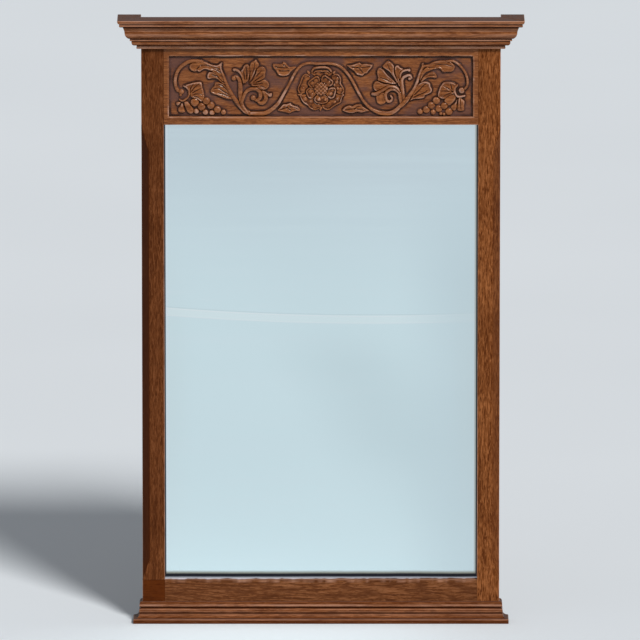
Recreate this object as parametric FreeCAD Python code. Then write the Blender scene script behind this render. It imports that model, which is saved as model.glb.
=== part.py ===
import FreeCAD, Part
import math
import os

# A carved oak wall mirror, in millimetres.
# X runs to the right, Y towards the wall and Z up. The origin lies on the wall plane,
# midway between the stiles, at the foot of the base moulding.

Vector = FreeCAD.Vector

# Overall sizes
overall_height = 1212.0
frame_width = 702.0
frame_thickness = 27.0

# Frame members
stile_width = 44.0
bottom_rail_height = 84.0
frieze_height = 179.5
frame_drop = 35.0
lip_thickness = 9.0
sill_rise = 3.0
glass_rebate = 8.0
board_rebate = 20.0

# Mortise and tenon joints
tenon_length = 28.0
tenon_thickness = 9.0
tenon_set_in = 13.0
tenon_clearance = 0.1
mortise_end_gap = 1.0

# Stopped chamfers on the stiles
chamfer_width = 14.0
chamfer_foot_gap = 3.0
chamfer_head_gap = 9.5
chamfer_stop_length = 43.0

# Repair let into the foot of the left stile
patch_height = 85.0
patch_thickness = 7.0

# Mouldings
cornice_height = 62.5
cornice_projection = 46.0
base_height = 42.0
base_projection = 18.5

# Mirror plate and what holds it
glass_thickness = 4.0
glass_clearance = 1.0
glazing_block_length = 30.0
glazing_block_width = 11.0
glazing_block_toe = 4.0
backboard_thickness = 6.0
backboard_clearance = 1.0
backboard_lap = 8.0
backboard_gap = 0.6

# Cut nails through the backboards
nail_head_width = 3.0
nail_head_length = 4.5
nail_head_thickness = 1.2
nail_width = 2.2
nail_point_width = 1.0
nail_length = 14.0
nail_clearance = 0.1
nail_margin = 5.0

# Keyhole hangers let into the backs of the stiles
hanger_width = 18.0
hanger_length = 60.0
hanger_thickness = 2.5
hanger_corner_radius = 2.0
hanger_clearance = 0.1
hanger_drop = 227.0
hanger_screw_offset = 24.0
keyhole_entry_radius = 5.5
keyhole_slot_width = 5.5
keyhole_slot_rise = 15.0
pocket_width = 12.0
pocket_height = 34.0
pocket_depth = 10.0
screw_head_radius = 3.0
screw_head_depth = 1.6
screw_shank_radius = 1.5
screw_length = 14.0
screw_clearance = 0.1

# Glue blocks behind the cornice
glue_block_length = 60.0
glue_block_side = 20.0

# Carved field of the frieze board
field_margin = 10.0
field_foot_margin = 16.0
field_height = 120.5
carving_height = 116.0
field_depth = 6.0
relief_height = 5.4
relief_root = 0.4
vine_half_width = 3.2
rose_radius = 44.0
rose_drop = 2.5
grape_radius = 6.6

# One overrun serves all cuts
overrun = 5.0

# Sizes worked out from those above
half_width = frame_width / 2
sight_half_width = half_width - stile_width
front_y = -frame_thickness
glass_front_y = front_y + lip_thickness
glass_back_y = glass_front_y + glass_thickness
backboard_front_y = -backboard_thickness
frame_top = overall_height - frame_drop
frieze_foot = frame_top - frieze_height
glass_low = bottom_rail_height - glass_rebate
glass_high = frieze_foot + glass_rebate
glass_side = sight_half_width + glass_rebate
board_low = bottom_rail_height - board_rebate
board_high = frieze_foot + board_rebate
board_side = sight_half_width + board_rebate
tenon_mid_y = front_y / 2
foot_tenon_top = board_low + tenon_set_in
ground_y = front_y + field_depth
field_half_width = sight_half_width - field_margin
field_foot = frieze_foot + field_foot_margin
carving_centre_z = field_foot + carving_height / 2
rose_centre_z = carving_centre_z - rose_drop
hanger_x = (half_width + board_side) / 2
hanger_height = frame_top - hanger_drop
chamfer_foot = bottom_rail_height + chamfer_foot_gap
chamfer_head = frieze_foot - chamfer_head_gap

# Sections of the mouldings, as shares of projection and of height below the top.
# One pair ends a straight stretch, two pairs are the middle and the end of an arc.
cornice_outline_shares = [
    ((0, 0),),
    ((0.985, 0),),
    ((1, 0.02), (0.99, 0.04)),
    ((0.965, 0.1),),
    ((0.9, 0.115),),
    ((0.895, 0.14),),
    ((0.92, 0.178), (0.87, 0.212)),
    ((0.75, 0.235),),
    ((0.743, 0.275),),
    ((0.705, 0.34), (0.69, 0.41)),
    ((0.64, 0.535), (0.515, 0.625)),
    ((0.43, 0.63),),
    ((0.43, 0.66),),
    ((0.475, 0.665),),
    ((0.475, 0.7),),
    ((0.4, 0.712),),
    ((0.4, 0.738),),
    ((0.385, 0.81), (0.3, 0.865)),
    ((0.2, 0.873),),
    ((0.16, 0.915),),
    ((0.195, 0.955), (0.16, 0.993)),
    ((0, 1),),
]
base_outline_shares = [
    ((0, 0),),
    ((0.24, 0.045), (0.33, 0.15)),
    ((0.33, 0.235),),
    ((0.19, 0.265),),
    ((0.19, 0.312),),
    ((0.25, 0.32),),
    ((0.375, 0.43), (0.33, 0.535)),
    ((0.27, 0.545),),
    ((0.38, 0.562),),
    ((0.5, 0.72), (0.84, 0.785)),
    ((0.95, 0.79),),
    ((1, 0.83), (1, 0.87)),
    ((1, 0.97),),
    ((0.97, 1),),
    ((0, 1),),
]

# Carving on the right half, as shares of the field's half width and the carving's half height
vine_shares = [
    (0, 0.83), (0.085, 0.82), (0.133, 0.7), (0.22, 0.04), (0.292, -0.7),
    (0.349, -0.86), (0.415, -0.91), (0.481, -0.85), (0.545, -0.5), (0.641, 0.29),
    (0.679, 0.63), (0.735, 0.83), (0.805, 0.91), (0.879, 0.87), (0.932, 0.7),
    (0.953, 0.04), (0.925, -0.2), (0.895, -0.1),
]
stalk_shares = [(0.4, -0.9), (0.372, -0.6), (0.41, -0.27), (0.487, -0.03)]
# Each leaf is its base, middle and tip, with its half width as a share of the carving's height
leaf_shares = [
    ((0.6, -0.1), (0.67, -0.2), (0.73, -0.09), 0.06),
    ((0.64, 0.27), (0.7, 0.2), (0.748, 0.36), 0.06),
    ((0.68, 0.6), (0.76, 0.5), (0.83, 0.66), 0.065),
    ((0.55, -0.45), (0.575, -0.05), (0.6, 0.25), 0.045),
    ((0.487, -0.05), (0.455, 0.45), (0.43, 0.92), 0.085),
    ((0.487, -0.05), (0.51, 0.45), (0.568, 0.72), 0.075),
    ((0.487, -0.05), (0.54, 0.1), (0.58, 0.36), 0.065),
    ((0.487, -0.05), (0.41, 0.4), (0.362, 0.66), 0.08),
    ((0.48, -0.05), (0.41, 0.1), (0.343, 0.14), 0.07),
    ((0.47, -0.1), (0.4, -0.15), (0.325, -0.27), 0.06),
    ((0.163, 0.72), (0.25, 0.68), (0.32, 0.55), 0.07),
    ((0.292, -0.78), (0.21, -0.72), (0.128, -0.66), 0.07),
    ((0.835, 0.1), (0.83, -0.12), (0.835, -0.36), 0.09),
    ((0.79, -0.12), (0.82, -0.2), (0.87, -0.26), 0.07),
    ((0.95, -0.35), (0.955, -0.6), (0.925, -0.88), 0.05),
    ((0.905, -0.35), (0.925, -0.55), (0.97, -0.78), 0.045),
]
# Each row of grapes is its height, its first and last place across, and its count
grape_row_shares = [
    (-0.42, 0.8, 0.71, 2),
    (-0.62, 0.88, 0.66, 4),
    (-0.82, 0.85, 0.67, 4),
]
small_grape_share = 0.6
# Each ring of petals: how far in and out it reaches, its half width, its height and its turn
petal_count = 5
outer_petal_shares = (0.3, 0.98, 0.42, 0.85, 0)
inner_petal_shares = (0.14, 0.6, 0.27, 1, 0.5)
petal_swell_shares = (0.45, 0.8, 1, 0.95, 0.5)
boss_share = 0.26
# Sections of what is carved: share of half width and share of height
ridged_section_shares = [(-0.85, 0.6), (0, 1), (0.85, 0.6)]
dished_section_shares = [(-0.95, 0.7), (-0.7, 1), (0, 0.5), (0.7, 1), (0.95, 0.7)]
# A dome's rings above its foot: share of its radius and share of its height
dome_ring_shares = [(0.93, 0.5), (0.5, 1)]
dome_sides = 7
leaf_tip_share = 0.15
stem_thinning_share = 0.33
stem_sinking_share = 0.25
spans_per_stretch = 2
backboard_count = 3

# Places along an edge, as shares of that edge
side_nail_shares = (0.12, 0.5, 0.88)
board_end_nail_shares = (0.25, 0.75)
side_block_shares = (0.15, 0.5, 0.85)
end_block_shares = (0.25, 0.75)
glue_block_shares = (0.05, 0.35, 0.65, 0.95)


# Plain helpers

def block(x_low, x_high, y_low, y_high, z_low, z_high):
    corner = Vector(x_low, y_low, z_low)
    return Part.makeBox(x_high - x_low, y_high - y_low, z_high - z_low, corner)


def mirrored(shape):
    return shape.mirror(Vector(0, 0, 0), Vector(1, 0, 0))


def prism(points, direction):
    outline = Part.makePolygon(points + points[:1])
    return Part.Face(outline).extrude(direction)


def between(low, high, share):
    return low + (high - low) * share


# Mouldings, mitred at the corners

def section_face(outline_shares, projection, height, z_top, place):
    stretches = []
    for stretch in outline_shares:
        stretches.append([place(p * projection, z_top - d * height) for p, d in stretch])
    start = stretches[0][0]
    here = start
    edges = []
    for points in stretches[1:]:
        if len(points) == 2:
            edges.append(Part.Arc(here, points[0], points[1]).toShape())
        else:
            edges.append(Part.makeLine(here, points[0]))
        here = points[-1]
    edges.append(Part.makeLine(here, start))
    return Part.Face(Part.Wire(edges))


def front_moulding(outline_shares, projection, height, z_top):
    reach = half_width + projection + overrun
    near_y = front_y - projection - overrun
    face = section_face(
        outline_shares, projection, height, z_top,
        lambda p, z: Vector(-reach, front_y - p, z),
    )
    bar = face.extrude(Vector(2 * reach, 0, 0))
    z_low = z_top - height - overrun
    mitred = prism(
        [
            Vector(overrun - half_width, front_y + overrun, z_low),
            Vector(half_width - overrun, front_y + overrun, z_low),
            Vector(reach, near_y, z_low),
            Vector(-reach, near_y, z_low),
        ],
        Vector(0, 0, height + 2 * overrun),
    )
    return bar.common(mitred)


def return_moulding(outline_shares, projection, height, z_top):
    near_y = front_y - projection - overrun
    face = section_face(
        outline_shares, projection, height, z_top,
        lambda p, z: Vector(half_width + p, near_y, z),
    )
    bar = face.extrude(Vector(0, -near_y, 0))
    z_low = z_top - height - overrun
    reach = half_width + projection + overrun
    mitred = prism(
        [
            Vector(half_width - overrun, front_y + overrun, z_low),
            Vector(half_width - overrun, overrun, z_low),
            Vector(reach, overrun, z_low),
            Vector(reach, near_y, z_low),
        ],
        Vector(0, 0, height + 2 * overrun),
    )
    return bar.common(mitred)


# Nails and screws, driven from the back towards the front

def square_ring(width, length, y):
    corners = [(-1, -1), (1, -1), (1, 1), (-1, 1)]
    points = [Vector(a * width / 2, y, b * length / 2) for a, b in corners]
    return Part.makePolygon(points + points[:1])


def nail_solid(x, z, grow):
    wide = nail_width + 2 * grow
    point_width = nail_point_width + 2 * grow
    head_wide = nail_head_width + 2 * grow
    head_long = nail_head_length + 2 * grow
    head = Part.makeLoft(
        [
            square_ring(head_wide, head_long, 0),
            square_ring(head_wide, head_long, -nail_head_thickness - grow),
        ],
        True, True,
    )
    shank = Part.makeLoft(
        [
            square_ring(wide, wide, -nail_head_thickness),
            square_ring(point_width, point_width, -nail_length - grow),
        ],
        True, True,
    )
    nail = head.fuse(shank)
    nail.translate(Vector(x, 0, z))
    return nail


def backboard_edges():
    side = board_side - backboard_clearance
    edge_shares = [index / backboard_count for index in range(backboard_count + 1)]
    return [between(-side, side, share) for share in edge_shares]


def nail_places():
    low = board_low + backboard_clearance + nail_margin
    high = board_high - backboard_clearance - nail_margin
    side = board_side - backboard_clearance - nail_margin
    places = []
    for share in side_nail_shares:
        places.append((-side, between(low, high, share)))
        places.append((side, between(low, high, share)))
    edges = backboard_edges()
    for left, right in zip(edges, edges[1:]):
        for share in board_end_nail_shares:
            places.append((between(left, right, share), low))
            places.append((between(left, right, share), high))
    return places


def nails():
    return Part.Compound([nail_solid(x, z, 0) for x, z in nail_places()])


def nail_holes():
    return Part.Compound([nail_solid(x, z, nail_clearance) for x, z in nail_places()])


def screw_solid(x, z, grow):
    points = [
        Vector(0, 0, 0),
        Vector(screw_head_radius + grow, 0, 0),
        Vector(screw_shank_radius + grow, -screw_head_depth, 0),
        Vector(screw_shank_radius + grow, -screw_length - grow, 0),
        Vector(0, -screw_length - grow, 0),
    ]
    face = Part.Face(Part.makePolygon(points + points[:1]))
    screw = face.revolve(Vector(0, 0, 0), Vector(0, 1, 0), 360)
    screw.translate(Vector(x, 0, z))
    return screw


def screw_places():
    places = []
    for x in (-hanger_x, hanger_x):
        places.append((x, hanger_height - hanger_screw_offset))
        places.append((x, hanger_height + hanger_screw_offset))
    return places


def screws():
    return Part.Compound([screw_solid(x, z, 0) for x, z in screw_places()])


def screw_holes():
    return Part.Compound([screw_solid(x, z, screw_clearance) for x, z in screw_places()])


# Frame: two stiles with the frieze board and the bottom rail tenoned between them

def tenon(z_low, z_high):
    return block(
        sight_half_width, sight_half_width + tenon_length,
        tenon_mid_y - tenon_thickness / 2, tenon_mid_y + tenon_thickness / 2,
        z_low + tenon_set_in, z_high - tenon_set_in,
    )


def mortise(z_low, z_high):
    half_thickness = tenon_thickness / 2 + tenon_clearance
    return block(
        sight_half_width - overrun, sight_half_width + tenon_length + mortise_end_gap,
        tenon_mid_y - half_thickness, tenon_mid_y + half_thickness,
        z_low + tenon_set_in - tenon_clearance, z_high - tenon_set_in + tenon_clearance,
    )


def chamfer_tool():
    stations = [
        (chamfer_foot, 0),
        (chamfer_foot + chamfer_stop_length, chamfer_width),
        (chamfer_head - chamfer_stop_length, chamfer_width),
        (chamfer_head, 0),
    ]
    sections = []
    for z, width in stations:
        points = [
            Vector(half_width - width - overrun, front_y - overrun, z),
            Vector(half_width + overrun, front_y - overrun, z),
            Vector(half_width + overrun, front_y + width + overrun, z),
        ]
        sections.append(Part.makePolygon(points + points[:1]))
    return Part.makeLoft(sections, True, True)


def hanger_recess():
    half = hanger_width / 2 + hanger_clearance
    length = hanger_length / 2 + hanger_clearance
    seat = block(
        hanger_x - half, hanger_x + half,
        -hanger_thickness, overrun,
        hanger_height - length, hanger_height + length,
    )
    pocket = block(
        hanger_x - pocket_width / 2, hanger_x + pocket_width / 2,
        -hanger_thickness - pocket_depth, -hanger_thickness,
        hanger_height - pocket_height / 2, hanger_height + pocket_height / 2,
    )
    return seat.fuse(pocket)


def right_stile():
    stile = block(sight_half_width, half_width, front_y, 0, 0, frame_top)
    cuts = [
        block(sight_half_width - overrun, glass_side, glass_front_y, overrun, glass_low, glass_high),
        block(sight_half_width - overrun, board_side, backboard_front_y, overrun, board_low, board_high),
        mortise(frieze_foot, frame_top),
        mortise(0, foot_tenon_top),
        chamfer_tool(),
        hanger_recess(),
        nail_holes(),
        screw_holes(),
    ]
    return stile.cut(cuts)


def stile_patch():
    return block(-half_width, -sight_half_width, front_y, front_y + patch_thickness, 0, patch_height)


def left_stile():
    return mirrored(right_stile()).cut(stile_patch())


def rail_bar(profile):
    points = [Vector(-sight_half_width, y, z) for y, z in profile]
    return prism(points, Vector(2 * sight_half_width, 0, 0))


def bottom_rail():
    rail = rail_bar([
        (front_y, 0),
        (0, 0),
        (0, board_low),
        (backboard_front_y, board_low),
        (backboard_front_y, glass_low),
        (glass_front_y, glass_low),
        (glass_front_y, bottom_rail_height + sill_rise),
        (front_y, bottom_rail_height),
    ])
    foot_tenon = tenon(0, foot_tenon_top)
    rail = rail.fuse([foot_tenon, mirrored(foot_tenon)])
    return rail.cut(nail_holes()).removeSplitter()


# Carving: a rose between two vines, each with a flower, leaves and grapes

def field_point(u_share, v_share):
    return (u_share * field_half_width, carving_centre_z + v_share * carving_height / 2)


def smooth_line(points):
    """Points on a smooth curve through the given ones, evenly shared between them."""
    line = []
    last = len(points) - 1
    for index in range(last):
        before = points[max(index - 1, 0)]
        start = points[index]
        end = points[index + 1]
        after = points[min(index + 2, last)]
        for step in range(spans_per_stretch):
            t = step / spans_per_stretch
            place = []
            for a, b, c, d in zip(before, start, end, after):
                slope = (c - a) / 2
                leave = (d - b) / 2
                cubic = 2 * b - 2 * c + slope + leave
                square = 3 * c - 3 * b - 2 * slope - leave
                place.append(((cubic * t + square) * t + slope) * t + b)
            line.append(tuple(place))
    line.append(points[last])
    return line


def blade_section(before, here, after, width, height, section_shares):
    along = Vector(after[0] - before[0], 0, after[1] - before[1]).normalize()
    across = Vector(-along.z, 0, along.x)
    centre = Vector(here[0], ground_y, here[1])
    points = [centre + across * (w * width) - Vector(0, h * height, 0) for w, h in section_shares]
    foot = Vector(0, relief_root, 0)
    points.append(centre + across * width + foot)
    points.append(centre - across * width + foot)
    return Part.makePolygon(points + points[:1])


def blade(line, sizes, section_shares):
    """A solid along a line, rooted in the ground. sizes has its half width and height at each point."""
    last = len(line) - 1
    sections = []
    for index, here in enumerate(line):
        before = line[max(index - 1, 0)]
        after = line[min(index + 1, last)]
        sections.append(blade_section(before, here, after, *sizes[index], section_shares))
    return Part.makeLoft(sections, True, True)


def stem(shares):
    line = smooth_line([field_point(u, v) for u, v in shares])
    sizes = []
    for index in range(len(line)):
        t = index / (len(line) - 1)
        width = vine_half_width * (1 - stem_thinning_share * t)
        sizes.append((width, relief_height * (1 - stem_sinking_share * t)))
    return blade(line, sizes, ridged_section_shares)


def leaf(base, middle, tip, width_share):
    line = smooth_line([field_point(*base), field_point(*middle), field_point(*tip)])
    sizes = []
    for index in range(len(line)):
        swell = math.sin(math.pi * index / (len(line) - 1))
        swell = max(swell, leaf_tip_share)
        sizes.append((width_share * carving_height * swell, relief_height * math.sqrt(swell)))
    return blade(line, sizes, ridged_section_shares)


def dome(radius, height, x, z):
    rings = []
    for radius_share, height_share in dome_ring_shares:
        y = ground_y - height_share * height
        rings.append((radius_share * radius, y))
    rings.insert(0, (radius, ground_y + relief_root))
    sections = []
    for ring_radius, y in rings:
        points = []
        for index in range(dome_sides):
            angle = 2 * math.pi * index / dome_sides
            across = ring_radius * math.cos(angle)
            up = ring_radius * math.sin(angle)
            points.append(Vector(x + across, y, z + up))
        sections.append(Part.makePolygon(points + points[:1]))
    return Part.makeLoft(sections, True, True)


def petals(shares):
    near_share, far_share, width_share, height_share, turn_share = shares
    last = len(petal_swell_shares) - 1
    sizes = []
    for swell in petal_swell_shares:
        sizes.append((width_share * rose_radius * swell, height_share * relief_height))
    solids = []
    for index in range(petal_count):
        angle = 2 * math.pi * (index + turn_share) / petal_count + math.pi / 2
        line = []
        for step in range(last + 1):
            reach = rose_radius * between(near_share, far_share, step / last)
            line.append((reach * math.cos(angle), rose_centre_z + reach * math.sin(angle)))
        solids.append(blade(line, sizes, dished_section_shares))
    return solids


def rose():
    centre = dome(boss_share * rose_radius, relief_height, 0, rose_centre_z)
    return petals(outer_petal_shares) + petals(inner_petal_shares) + [centre]


def grape_scale(u_share):
    """A grape's share of full size, which grows outwards along the bunch."""
    places = [share for row in grape_row_shares for share in row[1:3]]
    out = (u_share - min(places)) / (max(places) - min(places))
    return between(small_grape_share, 1, out)


def grapes():
    solids = []
    for v, first, last, count in grape_row_shares:
        for index in range(count):
            u = between(first, last, index / (count - 1))
            scale = grape_scale(u)
            x, z = field_point(u, v)
            solids.append(dome(grape_radius * scale, relief_height * scale, x, z))
    return solids


def side_carving():
    solids = [stem(stalk_shares)]
    solids += [leaf(*shares) for shares in leaf_shares]
    return solids + grapes()


def frieze_board():
    board = rail_bar([
        (front_y, frieze_foot),
        (glass_front_y, frieze_foot),
        (glass_front_y, glass_high),
        (backboard_front_y, glass_high),
        (backboard_front_y, board_high),
        (0, board_high),
        (0, frame_top),
        (front_y, frame_top),
    ])
    head_tenon = tenon(frieze_foot, frame_top)
    board = board.fuse([head_tenon, mirrored(head_tenon)])
    field = block(
        -field_half_width, field_half_width,
        front_y - overrun, ground_y,
        field_foot, field_foot + field_height,
    )
    board = board.cut([field, nail_holes()])
    right = side_carving()
    left = [mirrored(solid) for solid in right]
    vine = stem(vine_shares)
    carving = [vine, mirrored(vine)] + right + left + rose()
    return board.fuse(carving).removeSplitter()


# Mirror plate, its blocks and the boards behind it

def mirror_plate():
    side = glass_side - glass_clearance
    return block(-side, side, glass_front_y, glass_back_y, glass_low, glass_high - glass_clearance)


def glazing_block(length):
    """A wedge block lying along X, with its tall side at the origin's side and its toe inwards."""
    depth = backboard_front_y - glass_back_y
    points = [
        Vector(-length / 2, 0, 0),
        Vector(-length / 2, 0, glazing_block_width),
        Vector(-length / 2, depth - glazing_block_toe, glazing_block_width),
        Vector(-length / 2, depth, 0),
    ]
    return prism(points, Vector(length, 0, 0))


def glazing_blocks():
    solids = []
    for share in end_block_shares:
        x = between(-glass_side, glass_side, share)
        lower = glazing_block(glazing_block_length)
        lower.translate(Vector(x, glass_back_y, glass_low))
        upper = glazing_block(glazing_block_length)
        upper.rotate(Vector(0, 0, 0), Vector(0, 1, 0), 180)
        upper.translate(Vector(x, glass_back_y, glass_high))
        solids += [lower, upper]
    for share in side_block_shares:
        z = between(glass_low, glass_high, share)
        right = glazing_block(glazing_block_length)
        right.rotate(Vector(0, 0, 0), Vector(0, 1, 0), -90)
        right.translate(Vector(glass_side, glass_back_y, z))
        solids += [right, mirrored(right)]
    return Part.Compound(solids)


def backboard(index):
    edges = backboard_edges()
    low = board_low + backboard_clearance
    high = board_high - backboard_clearance
    half_y = backboard_front_y / 2
    left = edges[index]
    right = edges[index + 1]
    solids = []
    if index > 0:
        solids.append(block(left + backboard_gap, left + backboard_lap, half_y, 0, low, high))
        left = left + backboard_lap
    if index < backboard_count - 1:
        tongue = right + backboard_lap - backboard_gap
        solids.append(block(right, tongue, backboard_front_y, half_y, low, high))
    board = block(left, right, backboard_front_y, 0, low, high)
    if solids:
        board = board.fuse(solids).removeSplitter()
    return board.cut(nail_holes())


# Hangers and glue blocks

def keyhole():
    depth = hanger_thickness + 2 * overrun
    centre = Vector(hanger_x, overrun, hanger_height - keyhole_slot_rise / 2)
    top = centre + Vector(0, 0, keyhole_slot_rise)
    toward_front = Vector(0, -1, 0)
    entry = Part.makeCylinder(keyhole_entry_radius, depth, centre, toward_front)
    end = Part.makeCylinder(keyhole_slot_width / 2, depth, top, toward_front)
    slot = block(
        hanger_x - keyhole_slot_width / 2, hanger_x + keyhole_slot_width / 2,
        overrun - depth, overrun,
        centre.z, top.z,
    )
    return entry.fuse([end, slot])


def hanger_plate():
    plate = block(
        hanger_x - hanger_width / 2, hanger_x + hanger_width / 2,
        -hanger_thickness, 0,
        hanger_height - hanger_length / 2, hanger_height + hanger_length / 2,
    )
    corners = []
    for edge in plate.Edges:
        first, last = edge.Vertexes
        if abs(first.Y - last.Y) == hanger_thickness:
            corners.append(edge)
    plate = plate.makeFillet(hanger_corner_radius, corners)
    return plate.cut([keyhole(), screw_holes()])


def cornice_glue_blocks():
    back_y = front_y + glue_block_side
    peak_z = frame_top + glue_block_side
    inner_x = half_width - glue_block_side
    solids = []
    for share in glue_block_shares:
        middle = between(-inner_x, inner_x, share)
        x = max(-inner_x, min(middle - glue_block_length / 2, inner_x - glue_block_length))
        points = [
            Vector(x, front_y, frame_top),
            Vector(x, back_y, frame_top),
            Vector(x, front_y, peak_z),
        ]
        solids.append(prism(points, Vector(glue_block_length, 0, 0)))
    corner = prism(
        [
            Vector(half_width, front_y, frame_top),
            Vector(inner_x, front_y, frame_top),
            Vector(half_width, front_y, peak_z),
        ],
        Vector(0, frame_thickness, 0),
    )
    return Part.Compound(solids + [corner, mirrored(corner)])


# Every piece under its own name

def build():
    cornice = (cornice_outline_shares, cornice_projection, cornice_height, overall_height)
    base = (base_outline_shares, base_projection, base_height, base_height)
    cornice_return = return_moulding(*cornice)
    base_return = return_moulding(*base)
    plate = hanger_plate()
    return {
        "left_stile": left_stile(),
        "right_stile": right_stile(),
        "left_stile_patch": stile_patch(),
        "frieze_board": frieze_board(),
        "bottom_rail": bottom_rail(),
        "cornice_front": front_moulding(*cornice),
        "cornice_return_left": mirrored(cornice_return),
        "cornice_return_right": cornice_return,
        "cornice_glue_blocks": cornice_glue_blocks(),
        "base_moulding_front": front_moulding(*base),
        "base_return_left": mirrored(base_return),
        "base_return_right": base_return,
        "mirror_plate": mirror_plate(),
        "glazing_blocks": glazing_blocks(),
        "backboard_left": backboard(0),
        "backboard_middle": backboard(1),
        "backboard_right": backboard(2),
        "backboard_nails": nails(),
        "hanger_plate_left": mirrored(plate),
        "hanger_plate_right": plate,
        "hanger_screws": screws(),
    }


os.makedirs("parts", exist_ok=True)
for name, shape in build().items():
    shape.exportStep("parts/" + name + ".step")
    print(name, len(shape.Solids), "solids", round(shape.Volume), "cubic mm", shape.isValid())
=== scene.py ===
import bpy
import bmesh
import math
import numpy as np
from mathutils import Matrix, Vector


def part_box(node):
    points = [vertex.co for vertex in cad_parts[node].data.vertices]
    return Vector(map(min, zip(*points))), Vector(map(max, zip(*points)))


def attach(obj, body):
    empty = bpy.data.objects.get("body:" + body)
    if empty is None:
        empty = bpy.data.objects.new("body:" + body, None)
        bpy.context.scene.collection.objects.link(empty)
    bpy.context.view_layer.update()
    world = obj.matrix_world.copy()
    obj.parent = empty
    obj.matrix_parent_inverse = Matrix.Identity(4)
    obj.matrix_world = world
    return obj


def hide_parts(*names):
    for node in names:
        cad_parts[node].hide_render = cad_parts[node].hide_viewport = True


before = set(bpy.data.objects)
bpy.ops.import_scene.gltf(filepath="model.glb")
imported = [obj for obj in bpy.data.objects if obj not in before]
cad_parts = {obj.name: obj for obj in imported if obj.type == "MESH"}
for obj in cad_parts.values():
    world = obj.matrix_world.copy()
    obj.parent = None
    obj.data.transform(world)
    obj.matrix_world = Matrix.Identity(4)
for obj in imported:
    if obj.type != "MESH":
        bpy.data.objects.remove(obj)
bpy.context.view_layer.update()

# A carved oak wall mirror, in metres: X to the right, Y towards the wall, Z up.
MM = 0.001
CLOSE = 0.01 * MM

# Each piece's seed moves its grain, so that no two pieces look alike.
SEED_STEP = 0.37
SEED_OFFSET = (3.1, 1.7, 2.3)
RAIL_SEED = 1.9


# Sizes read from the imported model

stile_low, stile_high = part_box("right_stile")
plate_low, plate_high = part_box("mirror_plate")
half_width = stile_high.x
sight_half_width = stile_low.x
front_y = stile_low.y
glass_front_y = plate_low.y
frame_top = stile_high.z
frieze_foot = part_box("frieze_board")[0].z
patch_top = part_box("left_stile_patch")[1].z
sill_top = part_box("bottom_rail")[1].z

SILL_RISE = 3 * MM
BACKBOARD_DEPTH = 6 * MM
BACKBOARD_LAP = 20 * MM
PLATE_CLEARANCE = 1 * MM
rail_top = sill_top - SILL_RISE


# Small helpers

def new_object(name, data):
    holder = bpy.data.objects.new(name, data)
    bpy.context.collection.objects.link(holder)
    return holder


def add_piece(name, mesh, node, material):
    """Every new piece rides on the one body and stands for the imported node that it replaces."""
    mesh.materials.append(material)
    piece = new_object(name, mesh)
    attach(piece, "root")
    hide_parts(node)


def smooth_line(points, spans=8):
    """A smooth curve through the given points, as an array."""
    points = np.asarray(points, float)
    line = []
    last = len(points) - 1
    for index in range(last):
        before = points[max(index - 1, 0)]
        start = points[index]
        end = points[index + 1]
        after = points[min(index + 2, last)]
        slope = (end - before) / 2
        leave = (after - start) / 2
        cubic = 2 * start - 2 * end + slope + leave
        square = 3 * end - 3 * start - 2 * slope - leave
        for step in range(spans):
            t = step / spans
            line.append(((cubic * t + square) * t + slope) * t + start)
    line.append(points[last])
    return np.array(line)


def smooth_outline(points, spans=4):
    """A closed smooth curve through the given points."""
    line = smooth_line(np.concatenate([points[-2:], points, points[:2]]), spans)
    return line[2 * spans:len(line) - 2 * spans]


def smooth_share(value, low, high):
    """How far a value is from low to high, from 0 to 1, with soft ends."""
    share = np.clip((value - low) / (high - low), 0, 1)
    return share * share * (3 - 2 * share)


def between(values, i, j, s, t):
    """A grid's values at shares s and t of the way on from rows i and columns j."""
    low = values[i, j] * (1 - t) + values[i, j + 1] * t
    high = values[i + 1, j] * (1 - t) + values[i + 1, j + 1] * t
    return low * (1 - s) + high * s


def value_noise(shape, cells, seed):
    """Soft random values from -1 to 1 over a grid, with so many cells along each side."""
    generator = np.random.default_rng(seed)
    coarse = generator.uniform(-1, 1, (cells[0] + 2, cells[1] + 2))
    rows = np.linspace(0, cells[0], shape[0], endpoint=False)[:, None]
    columns = np.linspace(0, cells[1], shape[1], endpoint=False)[None, :]
    i = rows.astype(int)
    j = columns.astype(int)
    return between(coarse, i, j, smooth_share(rows - i, 0, 1), smooth_share(columns - j, 0, 1))


def blurred(values, reach):
    """A box blur, run three times, over so many cells to each side."""
    width = 2 * reach + 1
    for axis in (0, 1) * 3:
        padded = np.pad(values, [(reach + 1, reach) if a == axis else (0, 0) for a in (0, 1)], "edge")
        sums = np.cumsum(padded, axis=axis)
        count = values.shape[axis]
        upper = np.take(sums, range(width, width + count), axis=axis)
        lower = np.take(sums, range(count), axis=axis)
        values = (upper - lower) / width
    return values


def grid_mesh(name, places, attributes, closed=False, crease=62):
    """A mesh of quads over a grid of places. The attributes are values at the same places."""
    rows, columns = places.shape[:2]
    mesh = bpy.data.meshes.new(name)
    mesh.vertices.add(rows * columns)
    mesh.vertices.foreach_set("co", places.reshape(-1))
    index = np.arange(rows * columns).reshape(rows, columns)
    if closed:
        index = np.hstack([index, index[:, :1]])
    corners = [index[:-1, :-1], index[:-1, 1:], index[1:, 1:], index[1:, :-1]]
    quads = np.stack(corners, axis=-1).reshape(-1, 4)
    mesh.loops.add(quads.size)
    mesh.loops.foreach_set("vertex_index", quads.reshape(-1))
    mesh.polygons.add(len(quads))
    mesh.polygons.foreach_set("loop_start", np.arange(0, quads.size, 4))
    mesh.update(calc_edges=True)
    mesh.validate()
    for label, values in attributes.items():
        layer = mesh.attributes.new(label, "FLOAT", "POINT")
        values = np.broadcast_to(np.asarray(values, float), (rows, columns))
        layer.data.foreach_set("value", values.reshape(-1))
    mesh.polygons.foreach_set("use_smooth", np.ones(len(mesh.polygons), bool))
    mesh.set_sharp_from_angle(angle=math.radians(crease))
    return mesh


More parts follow.
